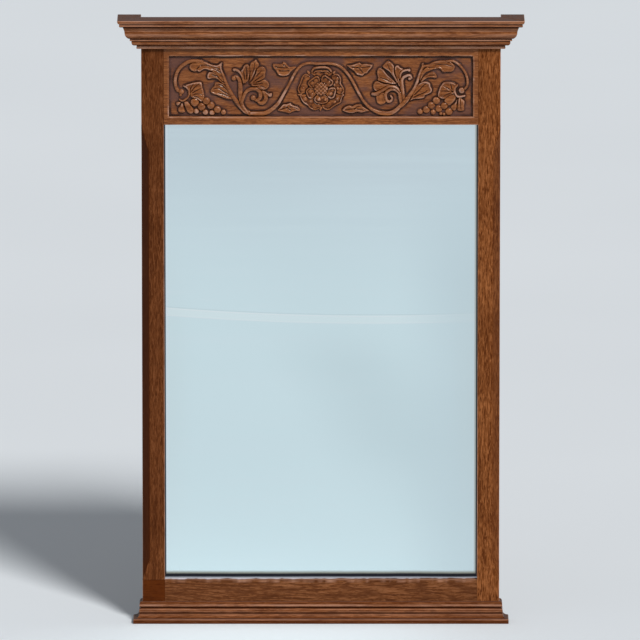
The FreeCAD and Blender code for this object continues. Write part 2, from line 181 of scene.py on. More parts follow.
def add_blocks(mesh, blocks):
    """Adds plain blocks to a mesh, such as the wood behind a carved face."""
    bm = bmesh.new()
    bm.from_mesh(mesh)
    for low, high in blocks:
        corners = [
            bm.verts.new((x, y, z))
            for x in (low[0], high[0]) for y in (low[1], high[1]) for z in (low[2], high[2])
        ]
        for face in ((0, 1, 3, 2), (4, 6, 7, 5), (0, 4, 5, 1), (2, 3, 7, 6), (0, 2, 6, 4), (1, 5, 7, 3)):
            bm.faces.new([corners[i] for i in face])
    bm.to_mesh(mesh)
    bm.free()


# The carving's relief. Each half is drawn on its own sketch grid, with its middle point, the
# millimetres in one unit and the side that its X runs to. Heights above the sunk ground, in
# millimetres, are laid one form over another.

CELL = 0.75
MARGIN = 10.0
FOOT_MARGIN = 16.0
FIELD_HEIGHT = 120.5
CARVING_HEIGHT = 116.0
FIELD_DEPTH = 6.0
HIGHEST_CREST = FIELD_DEPTH - 0.3
GROUND_WAVES = 0.22
GROUND_DIMPLES = 0.16
TOOL_MARKS = 0.09
EDGE_WOBBLE = 0.4
SOFT_EDGE_DROP = 0.6
SEAM_DROP = 0.25
SEAM_REACH = 0.6
CUT_WIDTH = 1.4
RIM_PLACE = 1.5
RIM_WIDTH = 1.1
RIM_HOLLOW = 0.6
VEIN_DEPTH = 1.25
VEIN_WIDTH = 0.95
VEIN_RAISED_SIDES = 0.55
HOLLOW_WIDTH = 1.9
# How dark the hollows are painted: soil with painted shade, and more of it in the rose
HOLLOW_SOIL_AND_SHADE = 1.1
ROSE_SOIL_AND_SHADE = 0.45
ROSE_REACH = (40, 50)
BARE_HEIGHTS = (0.5, 1.6)


def nearest(x, z, line):
    """How far each place is from a line of points, and how far along the line, from 0 to 1."""
    best = np.full(x.shape, 1e9)
    along = np.zeros(x.shape)
    last = len(line) - 1
    for index in range(last):
        start = line[index]
        step = line[index + 1] - start
        length = max(float(step @ step), 1e-9)
        t = np.clip(((x - start[0]) * step[0] + (z - start[1]) * step[1]) / length, 0, 1)
        gap = np.hypot(x - start[0] - t * step[0], z - start[1] - t * step[1])
        closer = gap < best
        best = np.where(closer, gap, best)
        along = np.where(closer, (index + t) / last, along)
    return best, along


def within(x, z, outline):
    """Which places are inside a closed outline."""
    inside = np.zeros(x.shape, bool)
    for start, end in zip(outline, np.roll(outline, -1, axis=0)):
        if start[1] == end[1]:
            continue
        crosses = (start[1] > z) != (end[1] > z)
        at = start[0] + (z - start[1]) * (end[0] - start[0]) / (end[1] - start[1])
        inside ^= crosses & (x < at)
    return inside


class Relief:
    """Heights above the ground, on a grid over one half of the field."""

    def __init__(self, centre, step, side):
        self.centre = centre
        self.step = step
        self.side = side
        half_length = sight_half_width / MM - MARGIN
        self.xs = np.arange(-CELL * 4, half_length + CELL, CELL / 2)
        self.zs = np.arange(-FIELD_HEIGHT / 2, FIELD_HEIGHT / 2 + MARGIN, CELL / 2)
        self.height = np.zeros((len(self.zs), len(self.xs)))
        # How deep the cut lines bite, from place to place
        self.bite = 0.6 + 0.55 * value_noise(self.height.shape, (22, 60), 11)

    def on_board(self, points):
        """Sketch points as millimetres outwards and up from the carving's centre."""
        points = np.asarray(points, float)
        across = (points[:, 0] - self.centre[0]) * self.step * self.side
        return np.stack([across, (self.centre[1] - points[:, 1]) * self.step], axis=1)

    def window(self, line, reach):
        """The part of the grid round a line, with its places."""
        low = line.min(axis=0) - reach
        high = line.max(axis=0) + reach
        columns = slice(*np.searchsorted(self.xs, (low[0], high[0])))
        rows = slice(*np.searchsorted(self.zs, (low[1], high[1])))
        x, z = np.meshgrid(self.xs[columns], self.zs[rows])
        return (rows, columns), x, z

    def about(self, centre, reach):
        """The part of the grid round a sketch point, with offsets and distances from that point."""
        middle = self.on_board([centre])
        part, x, z = self.window(middle, reach)
        x = x - middle[0, 0]
        z = z - middle[0, 1]
        return part, x, z, np.hypot(x, z)

    def put(self, part, inside, gap, height, cut=0.85):
        """Lays a form over what is there, with a cut line set in round its edge."""
        set_in = cut * np.clip(1 - gap / CUT_WIDTH, 0, 1) * self.bite[part]
        self.height[part] = np.where(inside, height, self.height[part] - set_in)

    def stroke(self, crown, points, widths, edge=0.5, cut=0.85):
        """A rounded band along a line of sketch points, with its half widths in sketch units."""
        line = smooth_line(self.on_board(points))
        widths = smooth_line([(width, 0) for width in widths])[:, 0] * self.step
        part, x, z = self.window(line, 7)
        gap, along = nearest(x, z, line)
        half = np.interp(along, np.linspace(0, 1, len(widths)), widths)
        share = np.clip(gap / half, 0, 1)
        height = crown * (edge + (1 - edge) * np.sqrt(1 - share ** 2))
        self.put(part, gap < half, gap - half, height, cut)

    def form(self, crown, points, veins=(), rim=0.9, bevel=2.2, edge=0.45, swell=0.0):
        """A leaf or petal, with rounded edges, cut veins, and a rim turned over a hollow."""
        outline = smooth_outline(self.on_board(points))
        part, x, z = self.window(outline, 2)
        gap, _ = nearest(x, z, np.vstack([outline, outline[:1]]))
        rise = np.sqrt(1 - (1 - np.clip(gap / bevel, 0, 1)) ** 2)
        height = crown * (edge + (1 - edge) * rise)
        height += swell * smooth_share(gap, 0, 9)
        height += rim * np.exp(-((gap - RIM_PLACE) / RIM_WIDTH) ** 2)
        height -= rim * RIM_HOLLOW * smooth_share(gap, 2.4, 4.6)
        for vein in veins:
            near, along = nearest(x, z, smooth_line(self.on_board(vein), 4))
            fade = 1 - 0.5 * along
            height -= VEIN_DEPTH * fade * np.exp(-(near / VEIN_WIDTH) ** 2)
            height += VEIN_DEPTH * VEIN_RAISED_SIDES * fade * np.exp(-(near - 2.4) ** 2)
        self.put(part, within(x, z, outline), gap, height)

    def bud(self, points, veins=()):
        """A long bud: a form with no rim."""
        self.form(4.2, points, veins, rim=0, bevel=4)

    def ball(self, centre, radius, crown=4.8):
        """A grape, or a curl's end, in sketch units."""
        radius = radius * self.step
        part, _, _, gap = self.about(centre, radius + 2)
        height = crown * (0.3 + 0.7 * np.sqrt(1 - np.clip(gap / radius, 0, 1) ** 2))
        self.put(part, gap < radius, gap - radius, height)

    def swelling(self, centre, radius, rise):
        """A soft lump on what is there, in sketch units."""
        radius = radius * self.step
        part, _, _, gap = self.about(centre, radius)
        self.height[part] += rise * (1 - np.clip(gap / radius, 0, 1) ** 2) ** 1.5


# The rose in the middle. A roll is a petal's turned edge: its line, half width and height.

ROSE_SKETCH = ((765, 802), 0.08)
SEPALS = [
    [(418, 384), (510, 440), (450, 520)], [(1128, 392), (1040, 430), (1090, 520)],
    [(190, 985), (300, 960), (300, 1070)], [(1340, 1000), (1240, 950), (1230, 1070)],
    [(755, 1400), (700, 1290), (815, 1290)],
]
OUTER_PETALS = [
    [(530, 470), (512, 400), (550, 340), (610, 298), (700, 284), (800, 278), (920, 284), (1000, 335),
     (1045, 400), (1030, 480), (930, 540), (780, 560), (620, 540)],
    [(500, 540), (450, 478), (380, 470), (310, 520), (268, 600), (240, 700), (195, 790), (190, 880),
     (235, 960), (330, 960), (420, 880), (470, 700)],
    [(1020, 540), (1080, 470), (1160, 468), (1235, 530), (1262, 610), (1256, 700), (1310, 790),
     (1342, 880), (1310, 970), (1210, 980), (1110, 890), (1060, 700)],
    [(250, 1000), (275, 1080), (310, 1160), (400, 1215), (460, 1270), (540, 1350), (620, 1378),
     (715, 1345), (760, 1250), (680, 1140), (540, 1040), (400, 970)],
    [(1290, 1000), (1270, 1090), (1256, 1180), (1160, 1235), (1070, 1290), (980, 1360), (890, 1368),
     (808, 1325), (780, 1240), (880, 1120), (1010, 1030), (1140, 970)],
]
OUTER_ROLLS = [
    ([(545, 400), (590, 335), (680, 312), (790, 302), (900, 310), (970, 345), (1015, 410)], 30, 4.9),
    ([(590, 450), (625, 412), (700, 398), (800, 400), (920, 400), (975, 440)], 17, 4.3),
    ([(470, 515), (410, 490), (350, 500), (297, 590), (262, 700), (218, 800), (215, 890),
      (262, 948)], 16, 4.3),
    ([(1060, 510), (1120, 482), (1190, 500), (1240, 590), (1236, 700), (1288, 800), (1318, 890),
      (1270, 962)], 16, 4.3),
    ([(262, 1015), (300, 1110), (350, 1180), (440, 1240), (520, 1320), (610, 1356),
      (705, 1330)], 16, 4.2),
    ([(1284, 1020), (1252, 1110), (1236, 1175), (1150, 1222), (1060, 1278), (975, 1342), (890, 1348),
      (818, 1305)], 17, 4.4),
]
INNER_PETALS = [
    [(742, 690), (735, 600), (700, 522), (625, 522), (540, 580), (445, 660), (450, 740), (510, 812),
     (600, 800), (690, 740)],
    [(780, 690), (765, 600), (795, 520), (860, 490), (930, 530), (1010, 585), (1072, 640), (1062, 720),
     (1000, 785), (900, 780), (830, 740)],
    [(610, 860), (560, 800), (470, 805), (392, 880), (405, 970), (450, 1060), (520, 1095), (600, 1030),
     (650, 950)],
    [(915, 880), (990, 810), (1090, 800), (1142, 870), (1122, 970), (1096, 1060), (1010, 1092),
     (930, 1050), (880, 960)],
    [(690, 985), (620, 1040), (592, 1110), (625, 1175), (700, 1208), (790, 1218), (890, 1200),
     (950, 1140), (940, 1060), (870, 1000), (780, 985)],
]
INNER_ROLLS = [
    ([(725, 640), (705, 560), (640, 545), (550, 605), (470, 675), (480, 745), (530, 795)], 19, 5.0),
    ([(780, 620), (805, 545), (860, 515), (930, 556), (1000, 610), (1045, 655), (1035, 720),
      (985, 762)], 20, 5.0),
    ([(560, 825), (480, 830), (418, 890), (428, 970), (468, 1045), (520, 1070)], 17, 4.6),
    ([(960, 850), (1030, 826), (1098, 830), (1117, 880), (1098, 970), (1072, 1040), (1010, 1066),
      (945, 1035)], 18, 4.9),
    ([(625, 1060), (615, 1120), (650, 1170), (720, 1190), (800, 1196), (890, 1176), (925, 1130),
      (920, 1070)], 17, 4.6),
]
SWELLINGS = [
    ((690, 450), 60, 0.8), ((900, 452), 60, 0.8), ((392, 530), 48, 1.2), ((325, 850), 75, 1.7),
    ((370, 660), 50, 0.8), ((1165, 585), 42, 1.3), ((1150, 672), 52, 1.5), ((1082, 745), 40, 1.3),
    ((1168, 838), 40, 1.5), ((1242, 860), 60, 1.4), ((372, 1095), 70, 1.5), ((520, 1150), 55, 1.3),
    ((610, 1268), 80, 1.5), ((945, 1228), 85, 1.6), ((1100, 1170), 40, 1.4), ((1172, 1085), 60, 1.5),
    ((690, 1255), 45, 0.9), ((540, 700), 60, 1.5), ((640, 620), 50, 0.7), ((965, 672), 45, 1.4),
    ((880, 610), 45, 0.7), ((500, 900), 60, 1.3), ((545, 985), 45, 1.2), ((1000, 960), 62, 1.5),
    ((1050, 880), 40, 0.9), ((715, 1100), 62, 2.0), ((880, 1112), 52, 1.7), ((800, 1060), 36, 1.0),
]
BOSS_CENTRE = (765, 840)
BOSS_RADIUS = 13.6
BOSS_HEIGHT = 5.4
BOSS_FALL = 2.0
BOSS_CUT_PITCH = 5.4
BOSS_CUT_DEPTH = 0.9


def carve_rose(relief):
    """The double rose: sepals, five broad petals, five small ones, and the boss."""
    relief.centre, relief.step = ROSE_SKETCH
    for points in SEPALS:
        relief.form(3.4, points, rim=0)
    for petals, rolls, crown in ((OUTER_PETALS, OUTER_ROLLS, 2.0), (INNER_PETALS, INNER_ROLLS, 2.7)):
        for points in petals:
            relief.form(crown, points, rim=0, bevel=1.4, edge=0.6)
        for points, half, height in rolls:
            relief.stroke(height, points, [half * 0.75, half, half * 0.75], 0.5, 1.0)
    for centre, radius, rise in SWELLINGS:
        relief.swelling(centre, radius, rise)
    carve_boss(relief)


def carve_boss(relief):
    """The rose's middle: a low dome with crossed cuts."""
    part, x, z, gap = relief.about(BOSS_CENTRE, BOSS_RADIUS + 2)
    height = BOSS_HEIGHT - BOSS_FALL * np.clip(gap / BOSS_RADIUS, 0, 1) ** 3
    for sign in (1, -1):
        phase = (x * relief.side + sign * z) / math.sqrt(2) / BOSS_CUT_PITCH
        height -= BOSS_CUT_DEPTH * np.abs(np.cos(math.pi * phase)) ** 5
    relief.put(part, gap < BOSS_RADIUS, gap - BOSS_RADIUS, height, 1.0)


def carve_right():
    """The right half, its lowest forms first."""
    relief = Relief((48, 401), 0.2, 1)
    # The leaves above and below the vine
    relief.form(3.8, [
        (300, 186), (340, 181), (385, 168), (422, 156), (445, 170), (490, 167), (552, 180), (536, 215),
        (514, 236), (500, 258), (472, 268), (455, 286), (425, 281), (395, 272), (372, 242), (345, 222),
    ], [
        [(335, 196), (425, 208), (525, 195)], [(415, 206), (445, 240), (462, 265)],
        [(400, 206), (430, 190), (450, 176)],
    ])
    relief.form(3.6, [
        (256, 633), (280, 600), (322, 582), (355, 588), (392, 570), (440, 571), (455, 590), (492, 614),
        (524, 640), (485, 642), (450, 653), (400, 647), (350, 659), (298, 651),
    ], [[(275, 630), (380, 615), (505, 636)], [(370, 617), (400, 596), (430, 588)]], rim=0.6)
    # The side flower's middle, low and top lobes
    relief.form(3.7, [
        (1013, 348), (1032, 319), (1056, 291), (1084, 267), (1122, 248), (1146, 248), (1170, 267),
        (1180, 295), (1170, 310), (1132, 305), (1094, 305), (1061, 324), (1032, 348),
    ], [[(1020, 345), (1070, 298), (1150, 278)]])
    relief.form(3.9, [
        (951, 457), (980, 390), (1008, 362), (1046, 343), (1084, 345), (1113, 362), (1118, 390),
        (1132, 419), (1127, 448), (1099, 467), (1065, 481), (1056, 505), (1018, 514), (951, 519),
        (918, 533),
    ], [
        [(932, 495), (994, 443), (1051, 381), (1075, 367)],
        [(932, 514), (1003, 476), (1051, 457), (1084, 433)],
    ])
    relief.form(4.1, [
        (1013, 343), (1022, 260), (1032, 162), (1056, 177), (1099, 172), (1146, 148), (1208, 134),
        (1275, 134), (1320, 150), (1351, 181), (1355, 205), (1346, 229), (1322, 248), (1275, 248),
        (1246, 253), (1227, 238), (1208, 219), (1180, 215), (1146, 222), (1108, 238), (1075, 253),
        (1051, 276),
    ], [
        [(1010, 272), (1060, 212), (1150, 182), (1250, 172), (1330, 192)],
        [(1100, 205), (1160, 200), (1240, 232)], [(1040, 225), (1090, 186), (1190, 158)],
    ], rim=0.7)
    # The tendril, and the stalk that rises to the flower
    relief.stroke(4.4, [
        (1275, 141), (1336, 141), (1384, 167), (1422, 205), (1455, 253), (1474, 305), (1479, 348),
        (1474, 386), (1455, 414),
    ], [11, 12, 12, 12, 12, 13, 13, 13, 12])
    relief.stroke(4.9, [
        (830, 585), (880, 530), (925, 470), (965, 405), (990, 340), (1008, 280), (1030, 220), (1044, 163),
    ], [20, 22, 20, 17, 15, 14, 13, 5], 0.4, 0.25)
    # The scalloped leaf, and the curl at its end
    relief.form(3.4, [
        (1237, 357), (1265, 348), (1313, 348), (1355, 362), (1374, 381), (1351, 410), (1348, 443),
        (1360, 467), (1341, 467), (1313, 490), (1275, 514), (1227, 514), (1194, 500), (1189, 467),
        (1199, 429), (1213, 391),
    ], [
        [(1332, 443), (1322, 400), (1313, 367)], [(1332, 443), (1290, 412), (1246, 386)],
        [(1332, 443), (1270, 438), (1208, 438)], [(1332, 448), (1280, 470), (1227, 495)],
    ], rim=0.5, swell=0.6)
    relief.ball((1422, 433), 30, 4.4)
    relief.stroke(4.9, [
        (1379, 381), (1355, 410), (1353, 443), (1370, 481), (1398, 495), (1450, 486),
    ], [10, 11, 11, 11, 11, 9])
    # The buds and the grapes
    relief.bud([
        (1260, 514), (1284, 490), (1341, 467), (1365, 495), (1355, 533), (1313, 576), (1284, 581),
        (1260, 557), (1251, 533),
    ])
    relief.bud([
        (1322, 586), (1360, 552), (1384, 505), (1374, 562), (1374, 609), (1355, 633), (1332, 628),
        (1313, 605),
    ])
    relief.bud([
        (1389, 514), (1408, 505), (1450, 538), (1446, 586), (1448, 628), (1422, 638), (1384, 633),
        (1379, 600), (1384, 552),
    ], [[(1410, 520), (1410, 570), (1414, 625)]])
    for centre, radius in [
        ((1016, 643), 29), ((1077, 624), 36), ((1125, 581), 36), ((1175, 533), 37), ((1144, 648), 27),
        ((1218, 662), 18), ((1250, 668), 16), ((1199, 614), 35), ((1251, 586), 35), ((1298, 643), 37),
    ]:
        relief.ball(centre, radius)
    # The upright flower's under, small, tall, wide and turned lobes
    relief.form(3.4, [
        (585, 495), (604, 467), (642, 450), (671, 457), (666, 495), (671, 524), (685, 543), (661, 567),
        (628, 574), (599, 557), (587, 529),
    ], rim=0.7, swell=0.6)
    relief.form(3.7, [
        (818, 400), (789, 343), (775, 286), (766, 220), (775, 191), (799, 182), (823, 205), (851, 220),
        (823, 243), (813, 277), (813, 324), (823, 372),
    ], [[(813, 372), (785, 305), (775, 229)]])
    relief.form(4.1, [
        (794, 367), (756, 305), (718, 248), (690, 229), (647, 196), (666, 167), (694, 141), (723, 146),
        (751, 172), (763, 196), (761, 229), (770, 277), (799, 343),
    ], [[(794, 362), (728, 243), (699, 172)]], rim=0.7, swell=0.6)
    relief.form(3.8, [
        (785, 367), (747, 324), (704, 286), (680, 258), (656, 224), (618, 208), (597, 229), (595, 267),
        (604, 305), (599, 329), (633, 343), (680, 357), (737, 367),
    ], [[(775, 362), (704, 305), (661, 258)], [(756, 357), (680, 324), (633, 305)]], rim=0.7, swell=0.7)
    relief.form(3.6, [
        (775, 376), (718, 367), (656, 362), (599, 338), (571, 353), (557, 381), (561, 414), (585, 438),
        (633, 419), (690, 391), (737, 376),
    ], [[(770, 372), (704, 367), (647, 367)]], rim=0.7, swell=0.7)
    # Its two hooks, with the first one's end
    relief.stroke(4.3, [
        (818, 305), (823, 267), (842, 243), (865, 234), (894, 229), (910, 234),
    ], [13, 13, 12, 11, 11, 13])
    relief.stroke(4.7, [
        (851, 514), (846, 467), (842, 419), (837, 372), (837, 333), (851, 305), (875, 291), (899, 281),
        (922, 286), (932, 310),
    ], [20, 20, 20, 19, 17, 15, 14, 13, 11, 9])
    relief.ball((913, 315), 17, 4.7)
    # Its spiral and lip
    relief.stroke(4.8, [
        (832, 552), (823, 505), (818, 467), (804, 443), (775, 424), (737, 419), (704, 433), (680, 462),
        (678, 495), (690, 528), (713, 543), (737, 528), (742, 505), (728, 486),
    ], [19, 19, 19, 18, 17, 17, 17, 17, 17, 16, 15, 12, 10, 8])
    relief.stroke(5.3, [
        (552, 467), (585, 467), (623, 443), (666, 419), (708, 395), (756, 395), (794, 414), (813, 438),
    ], [15, 21, 19, 19, 17, 17, 16, 12], 0.3)
    # The vine
    relief.stroke(4.7, [
        (30, 165), (130, 165), (190, 175), (245, 202), (300, 256), (345, 322), (385, 396), (422, 468),
        (462, 536), (512, 592), (570, 632), (630, 655), (700, 662), (755, 646), (800, 610), (845, 560),
        (885, 510),
    ], [13, 14, 14, 14, 14, 14, 14, 14, 14, 15, 18, 22, 23, 21, 19, 18, 16])
    carve_rose(relief)
    return relief


def carve_left():
    """The left half, a second carving of the same pattern, so that no line is quite the same."""
    relief = Relief((3196, 762), 0.095, -1)
    # The leaves above and below the vine
    relief.form(3.8, [
        (2204, 275), (2260, 268), (2330, 275), (2390, 268), (2420, 228), (2480, 260), (2510, 305),
        (2560, 338), (2640, 328), (2692, 345), (2620, 400), (2570, 450), (2530, 502), (2450, 527),
        (2370, 522), (2310, 490), (2280, 430), (2230, 370), (2204, 320),
    ], [
        [(2250, 330), (2400, 350), (2650, 345)], [(2340, 420), (2450, 420), (2540, 410)],
        [(2390, 250), (2440, 310), (2520, 345)],
    ])
    relief.form(3.6, [
        (2300, 1250), (2350, 1190), (2420, 1120), (2500, 1112), (2565, 1092), (2605, 1130), (2650, 1150),
        (2722, 1170), (2772, 1232), (2740, 1262), (2680, 1258), (2600, 1282), (2550, 1312), (2480, 1290),
        (2390, 1272),
    ], [
        [(2330, 1240), (2480, 1190), (2600, 1170), (2740, 1225)], [(2480, 1190), (2540, 1130)],
        [(2500, 1190), (2580, 1250)],
    ], rim=0.6)
    # The side flower's middle, low and top lobes
    relief.form(3.7, [
        (905, 440), (870, 480), (855, 540), (880, 588), (940, 580), (1000, 575), (1060, 588), (1110, 630),
        (1180, 690), (1220, 720), (1215, 640), (1150, 560), (1060, 480), (980, 440),
    ], [[(1190, 660), (1080, 540), (960, 500)]])
    relief.form(3.9, [
        (1010, 665), (1000, 730), (960, 770), (925, 822), (935, 872), (990, 905), (1060, 925),
        (1130, 955), (1200, 985), (1290, 1010), (1370, 1010), (1330, 900), (1270, 790), (1200, 700),
        (1100, 655), (1050, 652),
    ], [
        [(1330, 940), (1200, 850), (1080, 780), (980, 800)], [(1340, 970), (1200, 910), (1090, 880)],
        [(1280, 830), (1180, 740), (1090, 700)],
    ])
    relief.form(4.1, [
        (1165, 235), (1110, 275), (1060, 300), (960, 290), (880, 255), (800, 222), (700, 212), (600, 235),
        (520, 270), (488, 330), (510, 390), (580, 432), (650, 425), (700, 440), (745, 412), (790, 385),
        (840, 385), (890, 402), (960, 430), (1050, 500), (1130, 600), (1200, 640), (1190, 500),
        (1140, 400), (1135, 320),
    ], [
        [(1150, 400), (1000, 345), (850, 300), (700, 300)], [(1160, 470), (1050, 400), (930, 350)],
        [(690, 330), (640, 390), (660, 430)],
    ], rim=0.7)
    # The tendril, and the stalk that rises to the flower
    relief.stroke(4.4, [
        (760, 215), (700, 212), (600, 210), (480, 230), (380, 285), (290, 365), (235, 460), (205, 560),
        (200, 660), (215, 750), (255, 825),
    ], [20, 30, 36, 40, 40, 38, 37, 36, 36, 36, 40])
    relief.stroke(4.9, [
        (1740, 1312), (1640, 1258), (1540, 1155), (1450, 1045), (1370, 930), (1300, 800), (1240, 660),
        (1190, 520), (1140, 390), (1140, 300), (1162, 240),
    ], [44, 48, 48, 46, 44, 40, 34, 28, 22, 16, 8], 0.4, 0.25)
    # The scalloped leaf, and the curl at its end
    relief.form(3.4, [
        (400, 720), (480, 690), (570, 665), (660, 650), (735, 655), (752, 700), (762, 770), (782, 830),
        (792, 900), (802, 960), (785, 1020), (742, 1060), (690, 1040), (620, 1010), (560, 980),
        (515, 950), (500, 860), (470, 790), (430, 750),
    ], [
        [(505, 880), (520, 780), (570, 690)], [(510, 880), (600, 760), (690, 690)],
        [(520, 900), (650, 820), (755, 780)], [(520, 920), (660, 900), (790, 920)],
        [(530, 940), (650, 970), (740, 1030)],
    ], rim=0.5, swell=0.6)
    relief.ball((325, 855), 60, 4.4)
    relief.ball((310, 930), 28, 5.0)
    relief.stroke(4.9, [
        (375, 735), (440, 770), (485, 840), (480, 930), (430, 1000), (350, 1045), (285, 1020),
    ], [12, 20, 22, 22, 22, 20, 16])
    # The buds and the grapes
    relief.bud([(213, 1090), (260, 1065), (312, 1075), (290, 1122), (250, 1147), (220, 1125)])
    relief.bud([
        (258, 1210), (300, 1150), (340, 1090), (372, 1150), (392, 1230), (402, 1280), (350, 1298),
        (290, 1290), (260, 1255),
    ])
    relief.bud([
        (380, 1070), (440, 1055), (500, 1110), (550, 1180), (588, 1250), (565, 1300), (510, 1320),
        (450, 1280), (412, 1200), (385, 1130),
    ])
    for centre, radius in [
        ((820, 1285), 60), ((632, 1262), 56), ((955, 1295), 58), ((1190, 1285), 55), ((1065, 1230), 76),
        ((930, 1140), 80), ((740, 1170), 82), ((840, 1050), 76), ((600, 1080), 88),
    ]:
        relief.ball(centre, radius)
    # The upright flower's tip, ring, and small, wide, tall and turned lobes
    relief.form(3.6, [
        (2010, 820), (2070, 860), (2120, 890), (2185, 880), (2185, 930), (2165, 965), (2110, 950),
        (2070, 930), (2030, 880),
    ])
    relief.stroke(4.4, [
        (1990, 850), (2050, 930), (2060, 1010), (2010, 1080), (1950, 1090), (1900, 1060),
    ], [30, 42, 46, 46, 40, 24])
    relief.form(3.8, [
        (1640, 690), (1600, 600), (1570, 500), (1550, 420), (1580, 380), (1600, 330), (1640, 290),
        (1690, 285), (1725, 320), (1740, 400), (1730, 500), (1700, 620),
    ], [[(1660, 680), (1670, 520), (1668, 400), (1650, 330)], [(1645, 660), (1620, 520), (1600, 440)]])
    relief.form(3.8, [
        (1710, 700), (1790, 600), (1850, 480), (1874, 380), (1914, 345), (1984, 330), (2034, 350),
        (2064, 400), (2054, 480), (2044, 560), (1990, 600), (1900, 640), (1800, 680),
    ], [
        [(1720, 690), (1874, 520), (1980, 410)], [(1760, 680), (1900, 580), (2010, 500)],
    ], rim=0.7, swell=0.6)
    relief.form(4.1, [
        (1700, 680), (1730, 560), (1740, 430), (1730, 350), (1735, 290), (1764, 240), (1814, 210),
        (1862, 185), (1894, 230), (1924, 280), (1914, 330), (1870, 380), (1830, 480), (1770, 600),
    ], [
        [(1700, 680), (1770, 500), (1815, 380), (1835, 250)], [(1710, 640), (1750, 500), (1770, 400)],
    ], rim=0.7, swell=0.6)
    relief.form(3.8, [
        (1750, 690), (1810, 662), (1900, 650), (1970, 620), (2014, 600), (2074, 620), (2124, 670),
        (2130, 740), (2080, 800), (2014, 812), (1970, 770), (1900, 745), (1830, 745), (1770, 730),
    ], [[(1770, 700), (1900, 690), (2000, 670)]], rim=0.8)
    # Its lip and two hooks, with the first one's end
    relief.stroke(5.2, [(1890, 760), (1960, 775), (2030, 790)], [20, 38, 25], 0.3)
    relief.stroke(4.3, [
        (1610, 660), (1590, 570), (1560, 490), (1510, 430), (1450, 400), (1415, 398),
    ], [26, 28, 28, 27, 28, 32])
    relief.stroke(4.7, [
        (1690, 1290), (1600, 1180), (1560, 1080), (1550, 980), (1540, 900), (1540, 800), (1535, 700),
        (1520, 610), (1480, 560), (1430, 540), (1404, 570),
    ], [30, 36, 42, 50, 50, 48, 44, 40, 36, 34, 34])
    relief.ball((1404, 575), 52, 4.8)
    # Its spiral, with the spiral's end
    relief.stroke(4.8, [
        (1560, 1080), (1590, 990), (1630, 900), (1690, 830), (1780, 795), (1870, 800), (1935, 850),
        (1955, 930), (1930, 1000), (1880, 1030), (1830, 1010),
    ], [36, 38, 38, 38, 40, 42, 44, 44, 40, 36, 30])
    relief.ball((1804, 985), 56, 4.8)
    # The vine
    relief.stroke(4.7, [
        (3240, 262), (3100, 268), (2969, 255), (2869, 272), (2789, 310), (2709, 390), (2639, 500),
        (2579, 620), (2519, 740), (2459, 850), (2399, 960), (2329, 1080), (2240, 1180), (2134, 1262),
        (2040, 1305), (1900, 1315), (1760, 1310),
    ], [28, 28, 28, 28, 30, 30, 29, 28, 28, 30, 32, 36, 42, 46, 46, 44, 40])
    carve_rose(relief)
    return relief


def sampled(relief, x, z):
    """A relief's height at any places on its half."""
    step = CELL / 2
    column = np.clip((x - relief.xs[0]) / step, 0, len(relief.xs) - 1.001)
    row = np.clip((z - relief.zs[0]) / step, 0, len(relief.zs) - 1.001)
    i = row.astype(int)
    j = column.astype(int)
    return between(relief.height, i, j, row - i, column - j)


def frieze_grid():
    """Places on the board in millimetres, with their heights above the ground and their attributes."""
    half_length = sight_half_width / MM
    low = frieze_foot / MM
    high = frame_top / MM
    xs = np.linspace(-half_length, half_length, round(2 * half_length / CELL) + 1)
    zs = np.linspace(low, high, round((high - low) / CELL) + 1)
    x, z = np.meshgrid(xs, zs)
    shape = x.shape
    field_low = low + FOOT_MARGIN
    up = z - field_low - CARVING_HEIGHT / 2
    carved = np.where(x < 0, sampled(carve_left(), -x, up), sampled(carve_right(), x, up))
    waves = value_noise(shape, (14, 70), 1) * GROUND_WAVES
    ground = waves + value_noise(shape, (90, 45), 2) * GROUND_DIMPLES
    tools = value_noise(shape, (55, 260), 3) * TOOL_MARKS
    height = carved + ground * (1 - smooth_share(carved, 0.3, 1.0)) + tools
    # The sunk field, inside margins left at the board's full height
    wobble = value_noise(shape, (5, 60), 4) * EDGE_WOBBLE
    to_end = half_length - np.abs(x)
    to_side = half_length - MARGIN - np.abs(x)
    to_foot = z - field_low
    to_edge = np.minimum(np.minimum(to_side, field_low + FIELD_HEIGHT - z), to_foot) + wobble
    wall = smooth_share(to_edge, -0.5, 1.3)
    height = FIELD_DEPTH * (1 - wall) + np.minimum(height, HIGHEST_CREST) * wall
    height = np.where(to_edge < -1.5, FIELD_DEPTH, height)
    # The board's own softened arrises and its seams with the stiles
    to_arris = np.minimum(z - low, high - z)
    height -= SOFT_EDGE_DROP * np.clip(1 - to_arris, 0, 1) ** 2
    height -= SEAM_DROP * np.clip(1 - to_end / SEAM_REACH, 0, 1)
    # Soil with painted shade in the hollows, deeper in the rose; a painted highlight with wear on the
    # field's foot arris; and the worn foot of the board
    soil_and_shade = HOLLOW_SOIL_AND_SHADE * (blurred(height, round(HOLLOW_WIDTH / CELL)) - height)
    soil_and_shade *= 1 + ROSE_SOIL_AND_SHADE * (1 - smooth_share(np.hypot(x, up), *ROSE_REACH))
    inside = np.minimum(to_side, to_foot) > -3
    foot_arris = np.exp(-((to_foot + wobble + 0.9) / 0.8) ** 2) * inside
    wear_and_highlight = np.maximum(0.6 * foot_arris, np.exp(-((z - low) / 1.1) ** 2))
    bare_ground = wall * (1 - smooth_share(height, *BARE_HEIGHTS))
    return x, z, height, {"soil_and_shade": soil_and_shade, "ground": bare_ground, "wear_and_highlight": wear_and_highlight}


